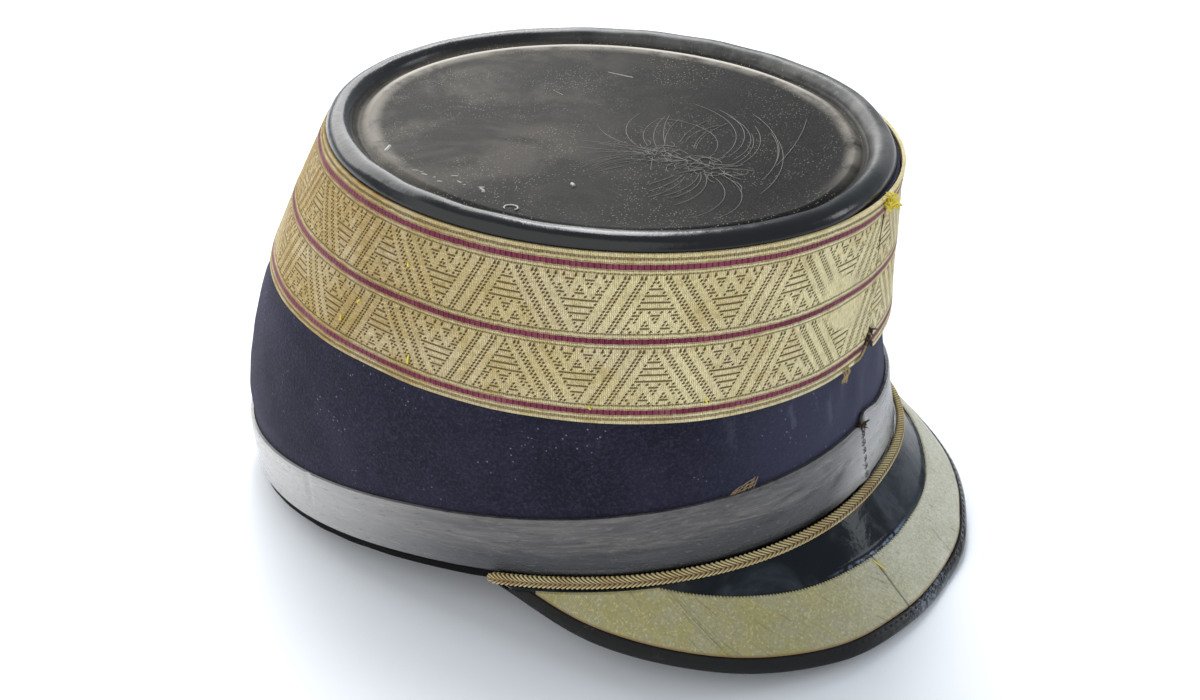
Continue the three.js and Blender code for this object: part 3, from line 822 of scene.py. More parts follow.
def peak_lace_look():
    """Plain gold weave with slanted fibres, greyer and paler to the wearer's left partly from painted light,
    and dark joints.
    """
    look = Look("plain_lace")
    along, across, _ = look.split(look.uv)
    threads = look.layer("thread")
    slant = look.times_plus(across, PEAK_THREAD["slant"], along)
    fibre = look.noise(1.0, 5, 0.7, look.stretch(slant, 1.9, across, 0.5))
    bunch = look.noise(1.0, 3, 0.6, look.stretch(slant, 0.5, across, 0.09))
    grain = look.noise(1300, 4, 0.75)
    age = look.noise(60, 5, 0.65)
    patchy = look.span(look.noise(85, 5, 0.65), 0.4, 0.62)
    x, _, _ = look.split(look.place)
    grey = look.span(x, -0.065, 0.015)
    streak_at = look.stretch(slant, 0.28, across, 0.07)
    yellowed = look.times(look.span(look.noise(1.0, 4, 0.6, streak_at), 0.48, 0.66), 0.6)
    gold = look.mix(patchy, (158, 151, 94), (160, 155, 122))
    gold = look.mix(yellowed, gold, (176, 160, 84))
    # Partly painted light: towards the wearer's left the lace is painted a paler grey, for its own greyer
    # tone and for the light from the front falling there.
    gold = look.mix(grey, gold, (206, 204, 188))
    gold = look.tint(gold, look.span(age, 0.38, 0.7), 0.4, (158, 152, 118))
    gold = look.tint(gold, look.span(fibre, 0.42, 0.66), 0.3, (124, 118, 86))
    gold = look.tint(gold, look.span(grain, 0.46, 0.64), 0.32, (118, 112, 84))
    gold = look.tint(gold, look.span(grain, 0.44, 0.36), 0.35, (226, 220, 184))
    gold = look.tint(gold, look.span(bunch, 0.6, 0.7), 0.4, (98, 94, 66))
    gold = look.tint(gold, look.span(threads, 0.4, 0.05), 0.3, (96, 88, 54))
    gold = look.mix(look.layer("joint"), gold, (50, 40, 22))
    gold = look.mix(look.layer("border"), gold, (132, 98, 52))
    normal = look.bump(look.math("ADD", fibre, grain), 0.16, 0.8)
    return look.finish(Base_Color=gold, Roughness=0.5, Metallic=0.2, Normal=normal)


def cord_look():
    """Gold strands with painted shade between them, and brown in the valley."""
    look = Look("gold_cord")
    strand = look.layer("strand")
    valley = look.layer("valley")
    fibre = look.noise(2600, 3, 0.6)
    age = look.noise(90, 4, 0.6)
    base = look.mix(look.span(age, 0.4, 0.7), (204, 187, 134), (186, 160, 106))
    base = look.tint(base, look.span(fibre, 0.45, 0.7), 0.35, (140, 112, 64))
    base = look.tint(base, valley, 0.7, (112, 62, 22))
    # Painted shade: the gaps between the strands are painted dark.
    base = look.tint(base, look.span(strand, 0.9, 0.35), 0.95, (46, 30, 14))
    normal = look.bump(fibre, 0.06, 0.6)
    return look.finish(Base_Color=base, Roughness=0.6, Normal=normal)


def thread_look(name, first, second):
    """Thread in a random mix of two colours."""
    look = Look(name)
    return look.finish(Base_Color=look.mix(look.noise(1500, 3), first, second), Roughness=0.8)


def rim_drop(angle):
    return lerp(RIM["rear_drop"], RIM["front_drop"], (1 + np.cos(angle)) / 2)


def crown_wall():
    """Cloth shell: two offsets of the crown's wall, from inside the rim up to below the lace's top edge.
    Between band and lace the outer face carries shallow random waves, a swelling and upright folds."""
    angle = full_turn(CLOTH_GRID["round"])[:, None]
    low = RIM["leather"] + GAP - rim_drop(angle)
    length = wall_length(angle)
    high = length - CLOTH["top_drop"]
    outside = np.linspace(0, 1, CLOTH_GRID["outside"])[None, :]
    inside = np.linspace(1, 0, CLOTH_GRID["inside"])[None, :]
    height = lerp(low, high, np.concatenate([outside, inside], 1))
    band_top, lace_foot = BAND["width"], length - LACE["width"]
    free = smooth(band_top + CLOTH_FREE["held"], band_top + CLOTH_FREE["free"], height)
    free = free * smooth(lace_foot - CLOTH_FREE["held"], lace_foot - CLOTH_FREE["free"], height)
    wave = np.clip(waves(angle, height, CLOTH_WAVES), -CLOTH_FREE["wave_limit"], CLOTH_FREE["wave_limit"])
    bulge = SWELLING["rise"] * smooth(SWELLING["from"], 1.0, np.cos(angle - np.radians(SWELLING["angle"])))
    for middle, width, rise in FRONT_FOLDS:
        away = wrapped(np.degrees(angle) - middle, 360) + (height - band_top) * FOLD_LEAN
        bulge = bulge + rise * np.exp(-((away / width) ** 2))
    face = CLOTH["face"] + free * (wave + bulge)
    outer = np.arange(height.shape[1]) < outside.size
    offset = np.where(outer, face, CLOTH["inside"])
    return [patch(wall_point(angle, height, offset), True)]


def top_point(angle, inset, lift):
    """Point over the crown's top: moved inwards from the lace's top edge, square to it, and lifted."""
    edge = crown_point(angle, 1.0)
    along = crown_point(angle + STEP, 1.0) - crown_point(angle - STEP, 1.0)
    inwards = unit(np.stack([-along[..., 1], along[..., 0], 0 * along[..., 0]], -1))
    return edge + inwards * np.asarray(inset)[..., None] + np.asarray(lift)[..., None] * np.array([0, 0, 1])


TOP_MIDDLE = np.array([0, (FRONT["top_y"] + BACK["top_y"]) / 2, (FRONT["top_z"] + BACK["top_z"]) / 2])
disc_swell = ripples(DISC_SWELL["waves"], DISC_SWELL["waves"], DISC_SWELL["sines"])
disc_grain = ripples(DISC_GRAIN["waves"], DISC_GRAIN["waves"], DISC_GRAIN["sines"])


def disc_lift(share):
    """Shallow bowl: height over the plane of the lace's top edge at a share of the way from middle to
    slope."""
    rim = SLOPE[-1, 1]
    return rim - (rim + DISC["sag"] - DISC["lift"]) * (1 - share**2)


def disc_wave(x, y):
    return disc_swell(x, y) * DISC_SWELL["height"] + disc_grain(x, y) * DISC_GRAIN["height"]


def disc_point(flat, lift):
    """Points above flat x and y places on the disc: the tilted plane of the top, plus the bowl and its
    waves, or the slope past the bowl's edge, plus a lift."""
    x, y = flat[..., 0], flat[..., 1]
    half_width = SIDE["top"] - SLOPE[-1, 0]
    half_length = (BACK["top_y"] - FRONT["top_y"]) / 2 - SLOPE[-1, 0]
    share = np.hypot(x / half_width, (y - TOP_MIDDLE[1]) / half_length)
    tilt = (BACK["top_z"] - FRONT["top_z"]) / (BACK["top_y"] - FRONT["top_y"])
    plane = TOP_MIDDLE[2] + (y - TOP_MIDDLE[1]) * tilt
    inset = SLOPE[-1, 0] - (share - 1) * (half_width + half_length) / 2
    rise = np.where(share < 1, disc_lift(np.minimum(share, 1)), np.interp(inset, SLOPE[:, 0], SLOPE[:, 1]))
    return np.stack([x, y, plane + rise + disc_wave(x, y) * (share < 1) + lift], -1)


def crown_top():
    """Rings from the underside's middle out to the plug, over the rolled rim and through the groove to
    the disc's middle. The roll is an arc of a circle, the slope a curve through points, the disc a
    shallow bowl with waves."""
    angle = full_turn(TOP_GRID["round"])[None, :]
    under = DISC["lift"] - DISC["thickness"] - DISC["sag"]
    first = np.arccos(np.sqrt(ROLL["radius"] ** 2 - GAP**2) / ROLL["radius"])
    last = np.arccos((ROLL["inset"] - ROLL["end_inset"]) / ROLL["radius"])
    turn = np.linspace(first, last, TOP_GRID["roll"])
    inset = ROLL["inset"] - ROLL["radius"] * np.cos(turn)
    lift = ROLL["radius"] * np.sin(turn)
    knots = np.concatenate([[(inset[-1], lift[-1])], SLOPE])
    slope = catmull(knots, np.linspace(0, 1, TOP_GRID["slope"])[1:])
    inset = np.concatenate([[DISC["plug_inset"], DISC["skirt_inset"]], inset, slope[:, 0]])[:, None]
    lift = np.concatenate([[under, under], lift, slope[:, 1]])[:, None]
    lump = waves(angle, inset, TOP_LUMPS) * smooth(ROLL["smooth_to"], ROLL["lumpy_from"], lift)
    facing = smooth(DRAWN_IN["from"], 1.0, np.cos(angle - np.radians(DRAWN_IN["angle"])))
    reached = smooth(DRAWN_IN["inner"], DRAWN_IN["outer"], inset) * (lift > under)
    drawn_in = DRAWN_IN["depth"] * facing * reached
    outer = top_point(angle, inset + drawn_in, lift + lump)
    share = np.linspace(1, TOP_GRID["hub"], TOP_GRID["disc"])[1:, None, None]
    edge = top_point(angle, SLOPE[-1, 0] + 0 * angle, 0 * angle)
    disc = lerp(TOP_MIDDLE, edge, share) + disc_lift(share) * np.array([0, 0, 1])
    plug = top_point(angle, DISC["plug_inset"] + 0 * angle, 0 * angle)
    lower_share = np.array([TOP_GRID["hub"], TOP_GRID["under"]])[:, None, None]
    lower = lerp(TOP_MIDDLE, plug, lower_share) + np.array([0, 0, under])
    points = np.concatenate([lower, outer, disc])
    rows = np.arange(len(points))[:, None]
    settled = smooth(len(lower) + TOP_GRID["settle"], len(lower) + len(outer), rows)
    points[..., 2] += disc_wave(points[..., 0], points[..., 1]) * settled
    across = np.concatenate([np.zeros(len(lower)), inset[:, 0], np.full(len(disc), SLOPE[-1, 0])])[:, None]
    return [patch(points, inset=across)]


def lace_chart():
    """Pits of one repeat as rows by threads: an upright triangle, the same upside down half a repeat
    away, and the dotted lines between them."""
    threads = REPEAT["threads"]
    rows = len(TRIANGLE_ROWS)
    chart = np.zeros((rows, threads))
    for row, distances in enumerate(TRIANGLE_ROWS):
        reach = np.array(distances)
        lines = np.array(LINE_STARTS) + row
        for sign in (-1, 1):
            chart[row, (sign * reach) % threads] = 1
            chart[row, (sign * lines) % threads] = 1
            chart[rows - 1 - row, (threads // 2 + sign * reach) % threads] = 1
    joined = chart * np.maximum(np.roll(chart, 1, axis=1), np.roll(chart, -1, axis=1))
    return chart - PIT["joined"] * joined


def lace_face(angle, depth, offset=0.0):
    return wall_point(angle, wall_length(angle) - depth, offset + 0 * angle)


def square_lines(middle_angles, depths):
    """Angles of lines that cross the lace square to its edges. From the middle row the angle is stepped
    row by row: the step along the edge cancels the part of the downward step that runs along it."""
    angles = np.empty((len(depths), len(middle_angles)))
    start = int(np.argmin(np.abs(depths - LACE["width"] / 2)))
    angles[start] = middle_angles
    for order in (range(start + 1, len(depths)), range(start - 1, -1, -1)):
        before = start
        for row in order:
            angle, depth = angles[before], depths[before]
            down = (lace_face(angle, depth + STEP) - lace_face(angle, depth - STEP)) / (2 * STEP)
            along = (lace_face(angle + STEP, depth) - lace_face(angle - STEP, depth)) / (2 * STEP)
            lean = -np.sum(down * along, -1) / np.sum(along * along, -1)
            angles[row] = angle + lean * (depths[row] - depth)
            before = row
    return angles


def lace_rows():
    """Depths of the lace's rows below its top edge, with the chart row of each one or -1."""
    depths = [*EDGE_ROWS, LOWER_ROW, LACE["width"]]
    charted = [-1] * len(depths)
    for band in range(STRIPES["count"]):
        middle = STRIPES["first"] + band * STRIPES["pitch"]
        depths += [middle + step for step in STRIPE_ROWS]
        charted += [-1] * len(STRIPE_ROWS)
        if band < STRIPES["count"] - 1:
            for row in range(len(TRIANGLE_ROWS)):
                start = middle + STRIPES["to_chart"]
                depths += [start + row * ROW_PITCH, start + (row + 0.5) * ROW_PITCH]
                charted += [row, -1]
    order = np.argsort(depths)
    return np.array(depths)[order], np.array(charted)[order]


def line_relief(distance, lines):
    """Sum of soft lines: each is full close to its middle and fades out farther off."""
    rows = ((height, far, close, np.abs(distance - middle)) for middle, far, close, height in lines)
    return sum(height * smooth(far, close, away) for height, far, close, away in rows)


def crown_lace():
    """Woven strip: rows below its top edge by threads along it, on lines square to its edges, with pits
    pushed in, grooves and raised stripes; the lower corners at the seam are cut off along a jagged
    line."""
    depths, charted = lace_rows()
    seam = np.radians(LACE["seam"])
    fine = np.linspace(seam, seam + FULL_TURN, SEAM_STEPS)
    length = lengths(lace_face(fine, LACE["width"] / 2))
    threads = int(round(length[-1] / (REPEAT["length"] / REPEAT["threads"])))
    along = np.linspace(GAP / 2, length[-1] - GAP / 2, threads)
    angles = square_lines(np.interp(along, length, fine), depths).T
    pitch = along[1] - along[0]
    home = np.interp(seam + (np.radians(REPEAT["angle"]) - seam) % FULL_TURN, fine, length)
    column = np.round((along - home) / pitch).astype(int)
    pit = np.where(charted[None, :] >= 0, lace_chart()[charted][:, column % REPEAT["threads"]].T, 0)
    stripe = np.abs(wrapped(depths - STRIPES["first"], STRIPES["pitch"]))
    raised = line_relief(stripe, RAISED_LINES)
    sunk = line_relief(stripe, SUNK_LINES) + line_relief(depths, SUNK_SELVEDGE)
    jag = waves(along[:, None], 0, LACE_JAGS)
    cut = LACE["width"]
    for cut_depth, far, close, from_seam in ((*TEAR["end"], length[-1] - along), (*TEAR["start"], along)):
        cut = cut - cut_depth * smooth(far, close, from_seam[:, None])
    cut = cut + np.where(cut < LACE["width"] - TEAR["jagged_from"], jag, 0)
    depth = np.minimum(depths[None, :], np.minimum(cut, LACE["width"]))
    facing = smooth(STANDING_OFF["from"], 1.0, np.cos(angles - np.radians(STANDING_OFF["angle"])))
    lower_part = smooth(STANDING_OFF["above"], STANDING_OFF["below"], depth)
    lifted = facing * (STANDING_OFF["least"] + STANDING_OFF["more"] * lower_part)
    wave = waves(along[:, None], depth, LACE_WAVES) * smooth(0, STANDING_OFF["edge"], depth)
    offset = LACE["face"] - PIT["depth"] * pit + raised - sunk + lifted + wave
    face = wall_point(angles, wall_length(angles) - depth, offset)
    ends = np.array([len(depths) - 1, 0])
    back_height = wall_length(angles[:, ends]) - depth[:, ends]
    back = wall_point(angles[:, ends], back_height, LACE["back"] + lifted[:, ends])
    points = np.concatenate([face, back], 1)
    pits = np.concatenate([pit, np.zeros((threads, len(ends)))], 1)
    down = np.concatenate([depth, depth[:, ends], depth[:, :1]], 1)
    uv = np.stack([np.broadcast_to(column[:, None] + 0.0, down.shape), down], -1)
    return [patch(points, uv=uv, pit=pits)]


def strip_angles(seam_degrees, count):
    seam = np.radians(seam_degrees)
    half_gap = GAP / 2 / -FRONT["top_y"]
    return np.linspace(seam + half_gap, seam + FULL_TURN - half_gap, count)


def leather_band():
    """Strip round the wall: heights by angle, with rounded edges, rounded corners at its butt seam,
    lengthwise wrinkles as slanted sine waves and creases as soft lines; one end stands a little
    higher."""
    angle = strip_angles(BAND["seam"], BAND_GRID["along"])[:, None]
    radius = -FRONT["low_y"]
    from_start = (angle - angle[0]) * radius
    nearest = np.minimum(from_start, (angle[-1] - angle) * radius)
    rounding = BAND_END["rounding"]
    corner = rounding - np.sqrt(rounding**2 - np.clip(rounding - nearest, 0, rounding) ** 2)
    higher = BAND_END["rise"] * smooth(BAND_END["rise_length"], 0, from_start)
    top = BAND["width"] - corner * BAND_END["corner"] + higher
    share = (1 - np.cos(np.linspace(0, np.pi, BAND_GRID["face"]))) / 2
    height = top * share[None, :]
    inside = smooth(0, BAND_EDGE["low"], height) * smooth(0, BAND_EDGE["top"], top - height)
    edge = BAND_EDGE["drop"] * (1 - inside)
    calm = BAND_EDGE["calm"]
    wrinkle = waves(angle, height, BAND_WRINKLES) * smooth(0, calm, height) * smooth(0, calm, top - height)
    aside = (angle - np.radians(SIDE_CREASE["angle"]) % FULL_TURN) * radius
    crease = SIDE_CREASE["depth"] * np.exp(-((aside / SIDE_CREASE["half"]) ** 2))
    crease = crease * smooth(SIDE_CREASE["from"], SIDE_CREASE["full"], height)
    for middle, level, tilt, half_length, half_width, depth in BAND_CREASES:
        along = wrapped((angle - np.radians(middle)) * radius, FULL_TURN * radius)
        line = np.exp(-(((height - level - tilt * along) / half_width) ** 2))
        crease = crease + depth * line * np.exp(-((along / half_length) ** 2))
    curl = BAND_END["curl"] * smooth(BAND_END["curl_length"], 0, nearest)
    offset = BAND["face"] - edge + wrinkle - crease + curl
    back_height = top * np.linspace(1, 0, BAND_GRID["back"])[None, :]
    back = np.full(back_height.shape, BAND["back"]) + curl
    points = wall_point(angle, np.concatenate([height, back_height], 1), np.concatenate([offset, back], 1))
    across = np.concatenate([share * BAND["width"], np.linspace(BAND["width"], 0, BAND_GRID["back"]), [0.0]])
    return [patch(points, uv=grid_uv(angle[:, 0] * radius, across))]


def rim_binding():
    """Folded strip under the band: a U-section round the wall's lower edge with rounded folds, flat on
    the table at the back."""
    angle = full_turn(RIM_GRID["round"])[:, None]
    inner_back = CLOTH["inside"] - GAP
    inner_face = inner_back - RIM["leather"]
    bottom = -rim_drop(angle)
    fold = bottom + RIM["leather"]
    turn = np.linspace(0, np.pi, RIM_GRID["bow"])[None, :]
    bow_x = inner_face / 2 - inner_face / 2 * power(np.cos(turn), RIM["bow_width"])
    bow_y = bottom + RIM["bow"] - RIM["bow"] * power(np.sin(turn), RIM["bow_depth"])
    rise = np.linspace(0, 1, RIM_GRID["side"])[None, :]
    one = np.ones_like(angle)
    outer_y = lerp(-GAP * one, bottom + RIM["bow"], rise[:, :-1])
    inner_y = lerp(bottom + RIM["bow"], RIM["inner_height"] * one, rise[:, 1:])
    inside_y = np.concatenate([RIM["inner_height"] * one, fold, fold, -GAP * one], 1)
    inside_x = np.array([[inner_back, inner_back, -RIM["leather"], -RIM["leather"]]]) * one
    height = np.concatenate([outer_y, bow_y, inner_y, inside_y], 1)
    across = np.concatenate([0 * outer_y, bow_x * one, 0 * inner_y + inner_face, inside_x], 1)
    bump = waves(angle, height, RIM_BUMPS)
    outward = np.arange(height.shape[1]) < outer_y.shape[1] + RIM_GRID["bumpy"]
    points = wall_point(angle, height, across + np.where(outward, bump, 0))
    return [patch(on_table(points), True)]


def peak_foot(share):
    angle = share * np.radians(PEAK["corner_angle"])
    return wall_point(angle, -PEAK["foot_drop"] + 0 * share, GAP + 0 * share)


def peak_line(share):
    """Straight line down the peak from its foot at the band to its edge: foot, width, down, up and
    outward."""
    angle = share * np.radians(PEAK["corner_angle"])
    foot = peak_foot(share)
    edge = catmull(PEAK_EDGE, (1 + share) / 2)
    width = np.linalg.norm(edge - foot, axis=-1)
    down = unit(edge - foot)
    onward = wall_point(angle + STEP, -PEAK["foot_drop"] + 0 * share, GAP + 0 * share) - foot
    up = -unit(np.cross(onward, down))
    outward = crown_normal(angle, -PEAK["foot_drop"] / wall_length(angle))
    return foot, width, down, up, outward


def peak_place(share, x, y):
    foot, _, down, up, _ = peak_line(share)
    return on_table(foot[:, None] + down[:, None] * x[..., None] + up[:, None] * y[..., None])


def cord_seat(share):
    _, _, down, up, outward = peak_line(share)
    lift = CORD["radius"] + GAP
    reach = BAND["face"] + CORD["radius"]
    return ((reach - lift * dot(up, outward)) / dot(down, outward))[:, 0], lift


def cord_clearance(share, layer):
    x, lift = cord_seat(share)
    return x + np.sqrt(CORD["radius"] ** 2 - (lift - layer) ** 2) + GAP


def peak():
    """Leather plate: straight lines from the band to the binding, with shallow waves on the upper face
    and a puckered ridge beside the lace. At the corners the lines shrink to points under the cord."""
    share = np.linspace(-PEAK_BINDING["end"], PEAK_BINDING["end"], PEAK_GRID["along"])
    _, width, down, up, outward = peak_line(share)
    edge = np.maximum(width - PEAK_BINDING["wall"] - GAP, GAP)
    slant = np.minimum((PEAK["thickness"] * dot(up, outward) / dot(down, outward))[:, 0], edge)
    over = np.linspace(0, 1, PEAK_GRID["over"])[None, :]
    under = np.linspace(1, 0, PEAK_GRID["under"])[None, :]
    x = np.concatenate([edge[:, None] * over, lerp(slant[:, None], edge[:, None], under)], 1)
    wave = waves(share[:, None], x, PEAK_WAVES)
    from_ridge = x - (width - PEAK_LACE["from_edge"] - PUCKER["from_lace"])[:, None]
    middle_part = smooth(PUCKER["to"], PUCKER["full"], np.abs(share))[:, None]
    pucker = np.exp(-((from_ridge / PUCKER["half"]) ** 2)) * middle_part
    wave = wave + PUCKER["rise"] * pucker * (1 + waves(share[:, None], x, PUCKER_WAVES))
    y = np.where(np.arange(x.shape[1]) < over.size, wave, -PEAK["thickness"])
    return [patch(peak_place(share, x, y), pucker=pucker)]


def peak_binding():
    """Folded strip round the peak's edge: two flat legs joined by half an ellipse, with a row of stitch
    dents."""
    share = np.linspace(-PEAK_BINDING["end"], PEAK_BINDING["end"], BINDING_GRID["along"])
    aside = np.abs(share)
    _, width, _, _, _ = peak_line(share)
    under_cord = smooth(PEAK_BINDING["under_cord"], PEAK_BINDING["end"], aside)[:, None]
    top = GAP + PEAK_BINDING["leather"] * (1 - under_cord)
    underside = -PEAK["thickness"] - GAP
    fuller = FULLER["depth"] * smooth(FULLER["from"], FULLER["full"], aside)
    fuller = fuller * smooth(FULLER["to"], FULLER["less"], aside)
    bottom = underside - PEAK_BINDING["leather"] - fuller[:, None]
    clear = cord_clearance(np.clip(share, -PEAK["end"], PEAK["end"]), GAP + PEAK_BINDING["leather"])
    leg = np.maximum(width - PEAK_BINDING["leg"], clear)
    leg = np.minimum(leg, width - PEAK_BINDING["leather"])[:, None]
    width = width[:, None]
    shoulder = np.maximum(width - PEAK_BINDING["shoulder"], leg + PEAK_BINDING["least_leg"])
    turn = np.linspace(np.pi / 2, -np.pi / 2, BINDING_GRID["nose"])[None, :]
    nose_x = shoulder + (width - shoulder) * np.cos(turn)
    nose_y = (top + bottom) / 2 + (top - bottom) / 2 * power(np.sin(turn), PEAK_BINDING["nose"]) + 0 * width
    flat = np.linspace(0, 1, BINDING_GRID["leg"])[None, :]
    over_x = lerp(leg, shoulder, flat[:, :-1])
    under_x = lerp(shoulder, leg, flat[:, 1::BINDING_GRID["under_step"]])
    inner = lerp(leg, width, PEAK_BINDING["inner_share"])
    x = np.concatenate([over_x, nose_x, under_x, leg, inner, inner, leg], 1)
    along = lengths(peak_place(share, width, 0 * width)[:, 0])[:, None]
    bump = waves(along, over_x, BINDING_BUMPS)
    from_row = np.abs(over_x - leg - STITCH_DENT["from_leg"])
    beat = np.cos(along * FULL_TURN / STITCH_DENT["pitch"])
    stitches = smooth(STITCH_DENT["low"], STITCH_DENT["high"], beat)
    dent = STITCH_DENT["depth"] * smooth(STITCH_DENT["far"], STITCH_DENT["close"], from_row) * stitches
    strong = smooth(STITCH_DENT["faint_to"], STITCH_DENT["strong_from"], share)
    dent = dent * lerp(STITCH_DENT["faint"], 1.0, strong)[:, None]
    lip = PEAK_BINDING["lip"] * smooth(PEAK_BINDING["lip_width"], 0.0, over_x - leg)
    over_y = top + bump - dent - lip
    rest = np.array([[underside, underside, GAP, GAP]]) + 0 * width
    y = np.concatenate([over_y, nose_y, 0 * under_x + bottom, rest], 1)
    uv = grid_uv(along[:, 0], np.arange(x.shape[1] + 1.0))
    return [patch(peak_place(share, x, y), uv=uv)]


def peak_lace():
    """Plain lace on the peak: lines from its looped inner edge to the binding, with slanted threads as
    sine ridges, waves along its length, two shallow joints across it and a few scratches."""
    share = np.linspace(-PEAK_LACE["end"], PEAK_LACE["end"], PEAK_LACE_GRID["along"])
    _, width, _, _, _ = peak_line(share)
    top = GAP + PEAK_LACE["thickness"]
    free = width - PEAK_LACE["from_edge"]
    held = cord_clearance(share, top)
    share, width = share[:, None], width[:, None]
    outer = width - PEAK_BINDING["leg"] - GAP
    along = lengths(peak_place(share[:, 0], width, 0 * width)[:, 0])[:, None]
    loop_turn = along * np.pi / PEAK_THREAD["pitch"] + PEAK_LACE_EDGE["loop_phase"]
    loops = PEAK_LACE_EDGE["loop"] * np.abs(np.sin(loop_turn))
    inner = np.maximum(free[:, None] - loops, held[:, None])
    x_top = lerp(inner, outer, np.linspace(0, 1, PEAK_LACE_GRID["top"])[None, :])
    across = width - x_top
    wander = waves(along, across, THREAD_WANDER)
    thread_place = along + PEAK_THREAD["slant"] * across + wander
    thread = np.abs(np.sin(thread_place * np.pi / PEAK_THREAD["pitch"]))
    per_share = along[-1] / (2 * PEAK_LACE["end"])
    joint = np.exp(-(((share - JOINT["share"]) * per_share / JOINT["half"]) ** 2))
    leaning = smooth(SECOND_JOINT["lean_from"], SECOND_JOINT["lean_to"], across)
    second = SECOND_JOINT["share"] + SECOND_JOINT["lean"] * leaning
    second_line = np.exp(-(((share - second) * per_share / SECOND_JOINT["half"]) ** 2))
    second_depth = SECOND_JOINT["depth"] * second_line
    joint = joint + second_depth * smooth(SECOND_JOINT["from"], SECOND_JOINT["full"], across)
    scratch_share = SCRATCH_LINE["share"] + SCRATCH_LINE["lean"] * (SCRATCH_LINE["level"] - across)
    for aside, depth in PEAK_SCRATCHES:
        scratch = np.exp(-((((share - scratch_share) * per_share - aside) / SCRATCH_LINE["half"]) ** 2))
        joint = joint + depth * scratch * smooth(SCRATCH_LINE["from"], SCRATCH_LINE["full"], across)
    border = smooth(PEAK_LACE_EDGE["border_from"], PEAK_LACE_EDGE["border_full"], outer - x_top)
    border = border * PEAK_LACE_EDGE["border"]
    wave = waves(along, across, PEAK_LACE_WAVES)
    rounding = PEAK_LACE_EDGE["inner_drop"] * smooth(PEAK_LACE_EDGE["inner_width"], 0.0, x_top - inner)
    outer_round = smooth(PEAK_LACE_EDGE["outer_width"], 0.0, outer - x_top)
    rounding = rounding + PEAK_LACE_EDGE["outer_drop"] * outer_round
    ridges = PEAK_THREAD["relief"] * (thread - PEAK_THREAD["level"])
    y_top = top + wave + ridges - JOINT["depth"] * joint - rounding
    x_back = lerp(inner, outer, np.linspace(1, 0, PEAK_LACE_GRID["back"])[None, :])
    x = np.concatenate([x_top, x_back], 1)
    y = np.concatenate([y_top, np.full(x_back.shape, GAP)], 1)
    blank = np.zeros(x_back.shape)
    down = np.concatenate([across, width - x_back, across[:, :1]], 1)
    uv = np.stack(np.broadcast_arrays(along, down), -1)
    layers = {"joint": (joint * JOINT["tone"], blank), "border": (border, blank),
              "thread": (thread, blank + 1)}
    layers = {name: np.concatenate(parts, 1) for name, parts in layers.items()}
    return [patch(peak_place(share[:, 0], x, y), uv=uv, **layers)]


def peak_cord():
    """Flat braid: a section of two round lobes carried along the foot of the peak. Ridges cross the lobes
    at opposite slants, a sine of the length plus or minus the way across."""
    reach = CORD["end_angle"] / PEAK["corner_angle"]
    share = np.linspace(-reach, reach, CORD_GRID["along"])
    held = np.clip(share, -PEAK["end"], PEAK["end"])
    x, lift = cord_seat(held)
    _, _, down, up, outward = peak_line(held)
    bisector = unit(up + outward)
    side = unit(outward - up)
    middle = peak_foot(share) + down * x[:, None] + up * lift
    middle = middle - bisector * BRAID["sink"] + side * BRAID["shift"]
    along = lengths(middle)[:, None]
    turn = full_turn(CORD_GRID["around"])[None, :]
    lobe = np.cos(turn)
    waist = smooth(0.0, BRAID["waist_reach"], np.abs(lobe - BRAID["valley"]))
    sideways = BRAID["half_width"] * lobe
    outwards = BRAID["half_height"] * np.sin(turn) * lerp(BRAID["waist"], 1, waist)
    lower = smooth(-BRAID["cross"], BRAID["cross"], lobe - BRAID["valley"])
    slant = lerp(-1.0, 1.0, lower) * (sideways - BRAID["half_width"] * BRAID["valley"]) * BRAID["slant"]
    strand = np.abs(np.sin((along + slant) * np.pi / BRAID["pitch"]))
    from_end = np.minimum(along, along[-1] - along)
    taper = lerp(BRAID["end_size"], 1, smooth(0, BRAID["taper"], from_end))
    size = (1 + BRAID["relief"] * (strand - BRAID["level"])) * taper
    points = middle[:, None] + side[:, None] * (sideways * size)[..., None]
    points = points + bisector[:, None] * (outwards * size)[..., None]
    upper_face = smooth(-BRAID["valley_edge"], BRAID["valley_edge"], np.sin(turn))
    valley = (1 - waist) * upper_face + 0 * along
    return [patch(on_table(points), strand=strand, valley=valley)]


def thread(path, radius, sides=THREAD_SIDES):
    """Round thread: a circle carried along a path of points, thinner towards both ends."""
    share = np.linspace(0, 1, len(path))
    along = unit(np.gradient(path, axis=0))
    reference = np.eye(3)[np.argmin(np.abs(along).mean(0))]
    first = unit(np.cross(along, reference))
    second = np.cross(along, first)
    turn = full_turn(sides)
    size = radius * np.clip(2 * np.sqrt(swell(share)), THREAD_TIP, 1)
    ring = first[:, None] * np.cos(turn)[None, :, None] + second[:, None] * np.sin(turn)[None, :, None]
    return patch(path[:, None] + ring * size[:, None, None])


def arc(start, heading, turn, length, stations=22):
    """Points of a flat arc: equal steps whose heading turns evenly."""
    middle = (np.arange(stations - 1) + 0.5) / (stations - 1)
    angle = np.radians(heading + turn * middle)
    steps = np.stack([np.cos(angle), np.sin(angle)], -1) * length / (stations - 1)
    return np.asarray(start) + np.concatenate([np.zeros((1, 2)), np.cumsum(steps, 0)])


